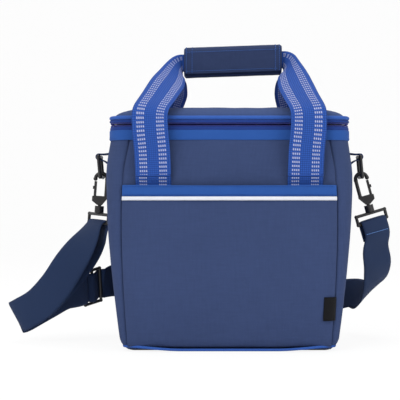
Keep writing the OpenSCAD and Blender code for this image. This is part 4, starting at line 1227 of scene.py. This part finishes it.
def from_hook(i, p):
    """A place in the frame of a hook, as a place in the bag's frame."""
    lean = math.radians(RING_LEAN[i])
    bar = np.array([TAB_X + RING_DROP * math.sin(lean), 0, TAB_Z - RING_DROP * math.cos(lean)])
    q = bar + turned(p, -HOOK_LEAN[i])
    return np.array([-q[0] if i == 0 else q[0], q[1], q[2]])


def bar_way(i):
    """The direction of a clip's strap bar, which turns about the upright stem."""
    a = math.radians(BAR_TURN[i])
    v = turned((math.cos(a), math.sin(a), 0), -HOOK_LEAN[i])
    return np.array([-v[0] if i == 0 else v[0], v[1], v[2]])


def strap_point(place, wide):
    """A point of the strap's path: its place, the direction of its width and its two sizes."""
    return (*place, *wide, STRAP_W, STRAP_T)


def near_bar(i, rear, up):
    """A point of the strap beside a clip's bar, from distances behind the bar and above it."""
    a = math.radians(BAR_TURN[i])
    return strap_point(from_hook(i, (-rear * math.sin(a), rear * math.cos(a), STRAP_BAR_Z + up)), bar_way(i))


WRAP_R = STRAP_BAR_R + STRAP_T / 2 + 0.45
WRAP_L, SEWN_L = 8.0, 20.0
STRAP_LEAN = (41.0, 0.0)


def over_bar(i, rear_drop, front_drop):
    """The strap over a bar: up its rear face, over the bar and down its front face, which
    leaves at an angle to the front."""
    a, r = math.radians(STRAP_LEAN[i]), WRAP_R
    turn = [near_bar(i, r * math.cos(b), r * math.sin(b)) for b in np.linspace(0, math.pi - a, 7)]
    return [near_bar(i, r * 0.8, -rear_drop)] + turn + [
        near_bar(i, -r * 0.9 * math.cos(a) - front_drop * math.sin(a),
                 r * 0.9 * math.sin(a) - front_drop * math.cos(a))]


BAR_HEIGHT = [from_hook(i, (0, 0, STRAP_BAR_Z))[2] for i in (0, 1)]
ADJUSTER = np.array([-BODY_HALF - 0.212 * BAR_HEIGHT[0], 0.55 * HALF_D, 0.438 * BAR_HEIGHT[0]])
ADJUSTER_ALONG = unit((0.82, 0.52, 0.24))
ADJUSTER_LEAN = np.array([0, -0.42, 0.9])
ADJUSTER_WIDE = unit(ADJUSTER_LEAN - np.dot(ADJUSTER_LEAN, ADJUSTER_ALONG) * ADJUSTER_ALONG)
ADJUSTER_OUT = unit(np.cross(ADJUSTER_ALONG, ADJUSTER_WIDE))


def adjuster_point(along, out):
    """A point of the strap at the adjuster, along its length and out of its face."""
    return strap_point(ADJUSTER + along * ADJUSTER_ALONG + out * ADJUSTER_OUT, ADJUSTER_WIDE)


def strap_rows(i, rows):
    """Points at one side, from distance off the wall, place in the depth and height, as shares
    of the strap bar's height, and direction of the width."""
    side, unit_l = (-1, 1)[i], BAR_HEIGHT[i]
    return [strap_point((side * (BODY_HALF + out * unit_l), y * unit_l, z * unit_l), wide)
            for out, y, z, wide in rows]


def back_rows(rows):
    """Points behind the bag, from share of the half width, distance off the wall and height."""
    return [strap_point((share * BODY_HALF, HALF_D + out * BAR_HEIGHT[1], z * BAR_HEIGHT[1]), wide)
            for share, out, z, wide in rows]


def strap_parts():
    """The four stretches of the strap: up to the left clip, down to the fold, back through the
    adjuster, and round the back to the right clip."""
    start = [adjuster_point(WRAP_R * math.cos(a) - ADJUSTER_PITCH, WRAP_R * math.sin(a))
             for a in np.radians((25, 60, 95))]
    start += [adjuster_point(-ADJUSTER_PITCH - 7, 4)]
    start += strap_rows(0, [(0.424, 0.19, 0.385, (-0.12, -0.32, 0.93)),
                            (0.526, 0.135, 0.345, (-0.25, -0.2, 0.93)),
                            (0.584, 0.106, 0.325, (-0.35, -0.1, 0.92)),
                            (0.599, 0.08, 0.32, (-0.42, 0, 0.9)),
                            (0.562, 0.058, 0.36, (-0.5, 0.06, 0.86)),
                            (0.431, 0.033, 0.5, (-0.62, 0.14, 0.76)),
                            (0.263, 0.029, 0.7, (-0.7, 0.36, 0.55)),
                            (0.157, 0.044, 0.85, (-0.66, 0.62, 0.28))])
    start += over_bar(0, WRAP_L, WRAP_L)
    down = strap_rows(0, [(0.247, -0.084, 0.822, (-0.7, 0.52, 0.35)),
                          (0.356, -0.106, 0.649, (-0.75, 0.22, 0.58)),
                          (0.47, -0.095, 0.474, (-0.7, 0.1, 0.68)),
                          (0.616, -0.051, 0.32, (-0.62, 0.1, 0.78)),
                          (0.767, 0, 0.23, (-0.5, 0.1, 0.85)),
                          (0.818, 0.058, 0.2, (-0.5, 0.1, 0.86)),
                          (0.774, 0.11, 0.205, (-0.45, 0.06, 0.88))])
    back = strap_rows(0, [(0.657, 0.146, 0.27, (-0.35, -0.06, 0.92)),
                          (0.541, 0.186, 0.33, (-0.22, -0.2, 0.93)),
                          (0.438, 0.23, 0.375, (-0.1, -0.34, 0.92))])
    back += [adjuster_point(ADJUSTER_PITCH * k / 6, WRAP_R * math.cos(math.radians(30 * k)))
             for k in range(-9, 10)]
    behind = back_rows([(-1.05, -0.146, 0.475, (0, -0.1, 1)), (-0.97, -0.015, 0.46, (0, 0.05, 1)),
                        (-0.83, 0.088, 0.438, (0, 0.12, 1)), (-0.45, 0.11, 0.402, (0, 0.12, 1)),
                        (0.15, 0.124, 0.358, (0, 0.12, 1)), (0.68, 0.117, 0.336, (0, 0.12, 1)),
                        (0.97, 0.088, 0.336, (0.1, 0.3, 1)), (1.13, -0.029, 0.358, (0.2, 0.5, 0.85))])
    behind += strap_rows(1, [(0.189, 0.45, 0.35, (0.4, 0.6, 0.7)),
                             (0.261, 0.25, 0.44, (0.7, 0.55, 0.4)),
                             (0.275, 0.1, 0.61, (0.85, 0.5, 0.15)),
                             (0.25, 0.02, 0.77, (0.85, 0.55, 0.2))])
    behind += over_bar(1, SEWN_L, 2 * WRAP_L)[::-1]
    return start, down, back, behind


def make_strap():
    """The shoulder strap, in stretches that each ride on a body; a stretch between two bodies is left fixed
    in place.
    """
    start, down, back, behind = strap_parts()
    steps = 5
    route = curve(start + down + back + behind, steps)
    whole = lengths(route[:, :3])
    loop = len(over_bar(0, WRAP_L, WRAP_L))
    front, fold = len(start), len(start) + len(down)
    turn, threaded = front - loop, fold + len(back) - 1
    last = fold + len(back) + len(behind) - 1
    sewn = last - loop + 1
    stretches = [("loop_sewn_end", 0, 3, "strap_adjuster"),
                 ("loop_slack", 3, 6, ("strap_adjuster", "root")),
                 ("loop_rear", 6, turn - 3, "root"),
                 ("loop_rear_upper", turn - 3, turn - 2, ("root", "ring_left")),
                 ("loop_rear_top", turn - 2, turn - 1, ("ring_left", "clip_left")),
                 ("loop_over_bar", turn - 1, front, "clip_left"),
                 ("loop_front_top", front, front + 1, ("clip_left", "ring_left")),
                 ("loop_front_upper", front + 1, front + 2, ("ring_left", "root")),
                 ("loop_front", front + 2, fold - 1, "root"),
                 ("run_fold", fold - 1, fold, "root"),
                 ("run_slack_front", fold, fold + 3, ("root", "strap_adjuster")),
                 ("run_threaded", fold + 3, threaded, "strap_adjuster"),
                 ("run_slack_rear", threaded, threaded + 3, ("strap_adjuster", "root")),
                 ("run_behind", threaded + 3, sewn - 3, "root"),
                 ("run_upper", sewn - 3, sewn - 2, ("root", "ring_right")),
                 ("run_top", sewn - 2, sewn - 1, ("ring_right", "clip_right")),
                 ("run_over_bar", sewn - 1, last, "clip_right")]
    for name, first, end, body in stretches:
        first, end = steps * first, steps * end
        shape = webbing(route, first, end, 0.25, 15, whole[first], (first == 0, end == len(route) - 1))
        piece = mesh_piece("strap_" + name, *shape, strap_cloth)
        if isinstance(body, str):
            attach(piece, body)
        else:
            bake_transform(piece)
        if name in ("loop_over_bar", "run_behind"):
            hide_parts("strap_loop" if name == "loop_over_bar" else "strap_run")
    # The stitches across the sewn end at the right clip, on its two faces
    frames = webbing_frames(route)
    rows = []
    for k, side in ((len(route) - 2, 1), (steps * sewn + 1, -1)):
        place, across, face, width, thick = frames[k]
        middle_line = place + face * side * (thick / 2 + 0.05)
        points = [middle_line + across * width / 2 * s for s in np.linspace(-0.93, 0.93, 20)]
        rows.append(stitch_row(points, face * side, 2.6, 2.0, 0.42))
    dress(mesh_piece("strap_end_stitches", *merged(rows), thread_light), "clip_right", "strap_web")


def make_tabs():
    """Webbing sewn to each side wall and looped round the ring's upper bar."""
    off = WEB_T / 2 + PLY_GAP
    loop_r = RING_R + WEB_T / 2 + 0.4
    for sign, name in ((-1, "left"), (1, "right")):
        # Heights from the ring's bar, as shares of the tab's length, and distances off the wall
        under = [(-1, 0), (-0.63, 0), (-0.33, 0.6)]
        over = [(0.125, 0.8), (0.25, 0)]
        near_x = TAB_X - 0.47 * TAB_OUT
        route = [(half_w(TAB_Z + k * TAB_L) + off + lift, TAB_Z + k * TAB_L) for k, lift in under]
        route += [(near_x, TAB_Z - 1.8 * loop_r)]
        route += [(TAB_X + loop_r * math.cos(a), TAB_Z + loop_r * math.sin(a))
                  for a in np.radians(range(-100, 101, 25))]
        route += [(near_x, TAB_Z + loop_r)]
        route += [(half_w(TAB_Z + k * TAB_L) + off + lift, TAB_Z + k * TAB_L) for k, lift in over]
        path = curve([(sign * x, 0, y, 0, 1, 0, TAB_W, WEB_T) for x, y in route], 4)
        tab = mesh_piece("side_tab_webbing_" + name, *webbing(path, columns=11), tab_cloth)
        dress(tab, "root", "tab_web", "side_tab_" + name)
        rows = []
        for height in (TAB_Z - 37, TAB_Z - 28):
            x = sign * (half_w(height) + off + WEB_T / 2)
            points = [(x, y, height) for y in np.linspace(-TAB_W / 2 + 2, TAB_W / 2 - 2, 12)]
            rows.append(stitch_row(points, (sign, 0, 0), 2.4, 1.8, 0.24))
        dress(mesh_piece("side_tab_stitches_" + name, *merged(rows), thread_navy), "root", "tab_web")


# ---- Parts kept from the frame ----------------------------------------------------------------------


def smooth_by_angle(mesh, degrees=35):
    """Shades a mesh smooth and keeps its sharp edges."""
    mesh.polygons.foreach_set("use_smooth", [True] * len(mesh.polygons))
    mesh.set_sharp_from_angle(angle=math.radians(degrees))


def finish_hardware():
    """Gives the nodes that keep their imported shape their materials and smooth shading."""
    sided = [f"{kind}_{side}" for kind in ("ring", "clip", "hook", "gate") for side in ("left", "right")]
    finishes = {black_plastic: sided + ["strap_adjuster"],
                black_metal: ["zip_slider", "zip_pull"],
                bright_metal: ["zip_stops"],
                white_foam: ["foam_front", "foam_back", "foam_left", "foam_right", "foam_base", "lid_foam"],
                board_cloth: ["base_board"]}
    for material, nodes in finishes.items():
        for node in nodes:
            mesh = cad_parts[node].data
            mesh.materials.clear()
            mesh.materials.append(material)
            smooth_by_angle(mesh)


# ---- Floor, camera and light --------------------------------------------------------------------------


def make_stage():
    """A plain white floor that runs up into a white backdrop, and keeps the bag's shadow."""
    g = Graph("stage_white", 0.9)
    tree = g.tree
    path = tree.nodes.new("ShaderNodeLightPath")
    seen = g.math("MAXIMUM", path.outputs["Is Camera Ray"],
                  g.math("MAXIMUM", path.outputs["Is Glossy Ray"], path.outputs["Is Transmission Ray"]))
    g.shader.inputs["Base Color"].default_value = (0.9, 0.9, 0.9, 1)
    glow = tree.nodes.new("ShaderNodeEmission")
    glow.inputs["Strength"].default_value = 1.04
    blend = tree.nodes.new("ShaderNodeMixShader")
    g.feed(blend.inputs["Fac"], g.times(seen, 0.86))
    tree.links.new(g.shader.outputs[0], blend.inputs[1])
    tree.links.new(glow.outputs[0], blend.inputs[2])
    tree.links.new(blend.outputs[0], tree.nodes["Material Output"].inputs["Surface"])
    profile = [(-3000, 0), (2600, 0)] + [(2600 + 500 * math.sin(a), 500 - 500 * math.cos(a))
                                         for a in np.radians(range(15, 91, 15))] + [(3100, 3000)]
    rows = [[(x, y, z - 0.05) for x in (-4000, 4000)] for y, z in profile]
    mesh_piece("floor_and_backdrop", *grid(rows, [0, 1], list(range(len(rows)))), g.material)


def make_light():
    """Three soft lamps in a pale room that is a little dimmer than it looks."""
    world = bpy.data.worlds.new("studio")
    bpy.context.scene.world = world
    world.use_nodes = True
    nodes, links = world.node_tree.nodes, world.node_tree.links
    path = nodes.new("ShaderNodeLightPath")
    seen = nodes.new("ShaderNodeMix")
    seen.data_type = "FLOAT"
    links.new(path.outputs["Is Camera Ray"], seen.inputs["Factor"])
    seen.inputs[2].default_value = 0.62
    seen.inputs[3].default_value = 1.0
    nodes["Background"].inputs["Color"].default_value = (1, 1, 1, 1)
    links.new(seen.outputs[0], nodes["Background"].inputs["Strength"])
    lamps = (("key", (-700, -1300, 1150), 9.5, 900), ("fill", (1100, -1000, 700), 5.0, 900),
             ("top", (0, 200, 1500), 6.0, 1100))
    for name, place, power, size in lamps:
        data = bpy.data.lights.new(name, "AREA")
        data.energy = power
        data.size = size * MM
        lamp = bpy.data.objects.new(name, data)
        lamp.location = Vector(place) * MM
        lamp.rotation_euler = (Vector((0, 0, 0.15)) - lamp.location).to_track_quat("-Z", "Y").to_euler()
        bpy.context.scene.collection.objects.link(lamp)


def make_camera():
    """Level, in front of the bag, with the bag a little right of the middle of the view."""
    data = bpy.data.cameras.new("camera")
    data.sensor_width = 36
    data.lens = 109.6
    data.shift_x = -0.0735
    data.clip_end = 20
    camera = bpy.data.objects.new("camera", data)
    camera.location = (0, -1.39, 0.162)
    camera.rotation_euler = (math.pi / 2, 0, 0)
    bpy.context.scene.collection.objects.link(camera)
    bpy.context.scene.camera = camera


# ---- Run --------------------------------------------------------------------------------------

make_walls()
make_base()
make_band()
make_zip()
make_lid()
make_hinge_band()
make_liner()
make_pocket()
make_label()
make_handles()
make_grip()
make_tabs()
make_strap()
finish_hardware()
make_stage()
make_light()
make_camera()

bpy.context.scene.view_settings.view_transform = "Standard"
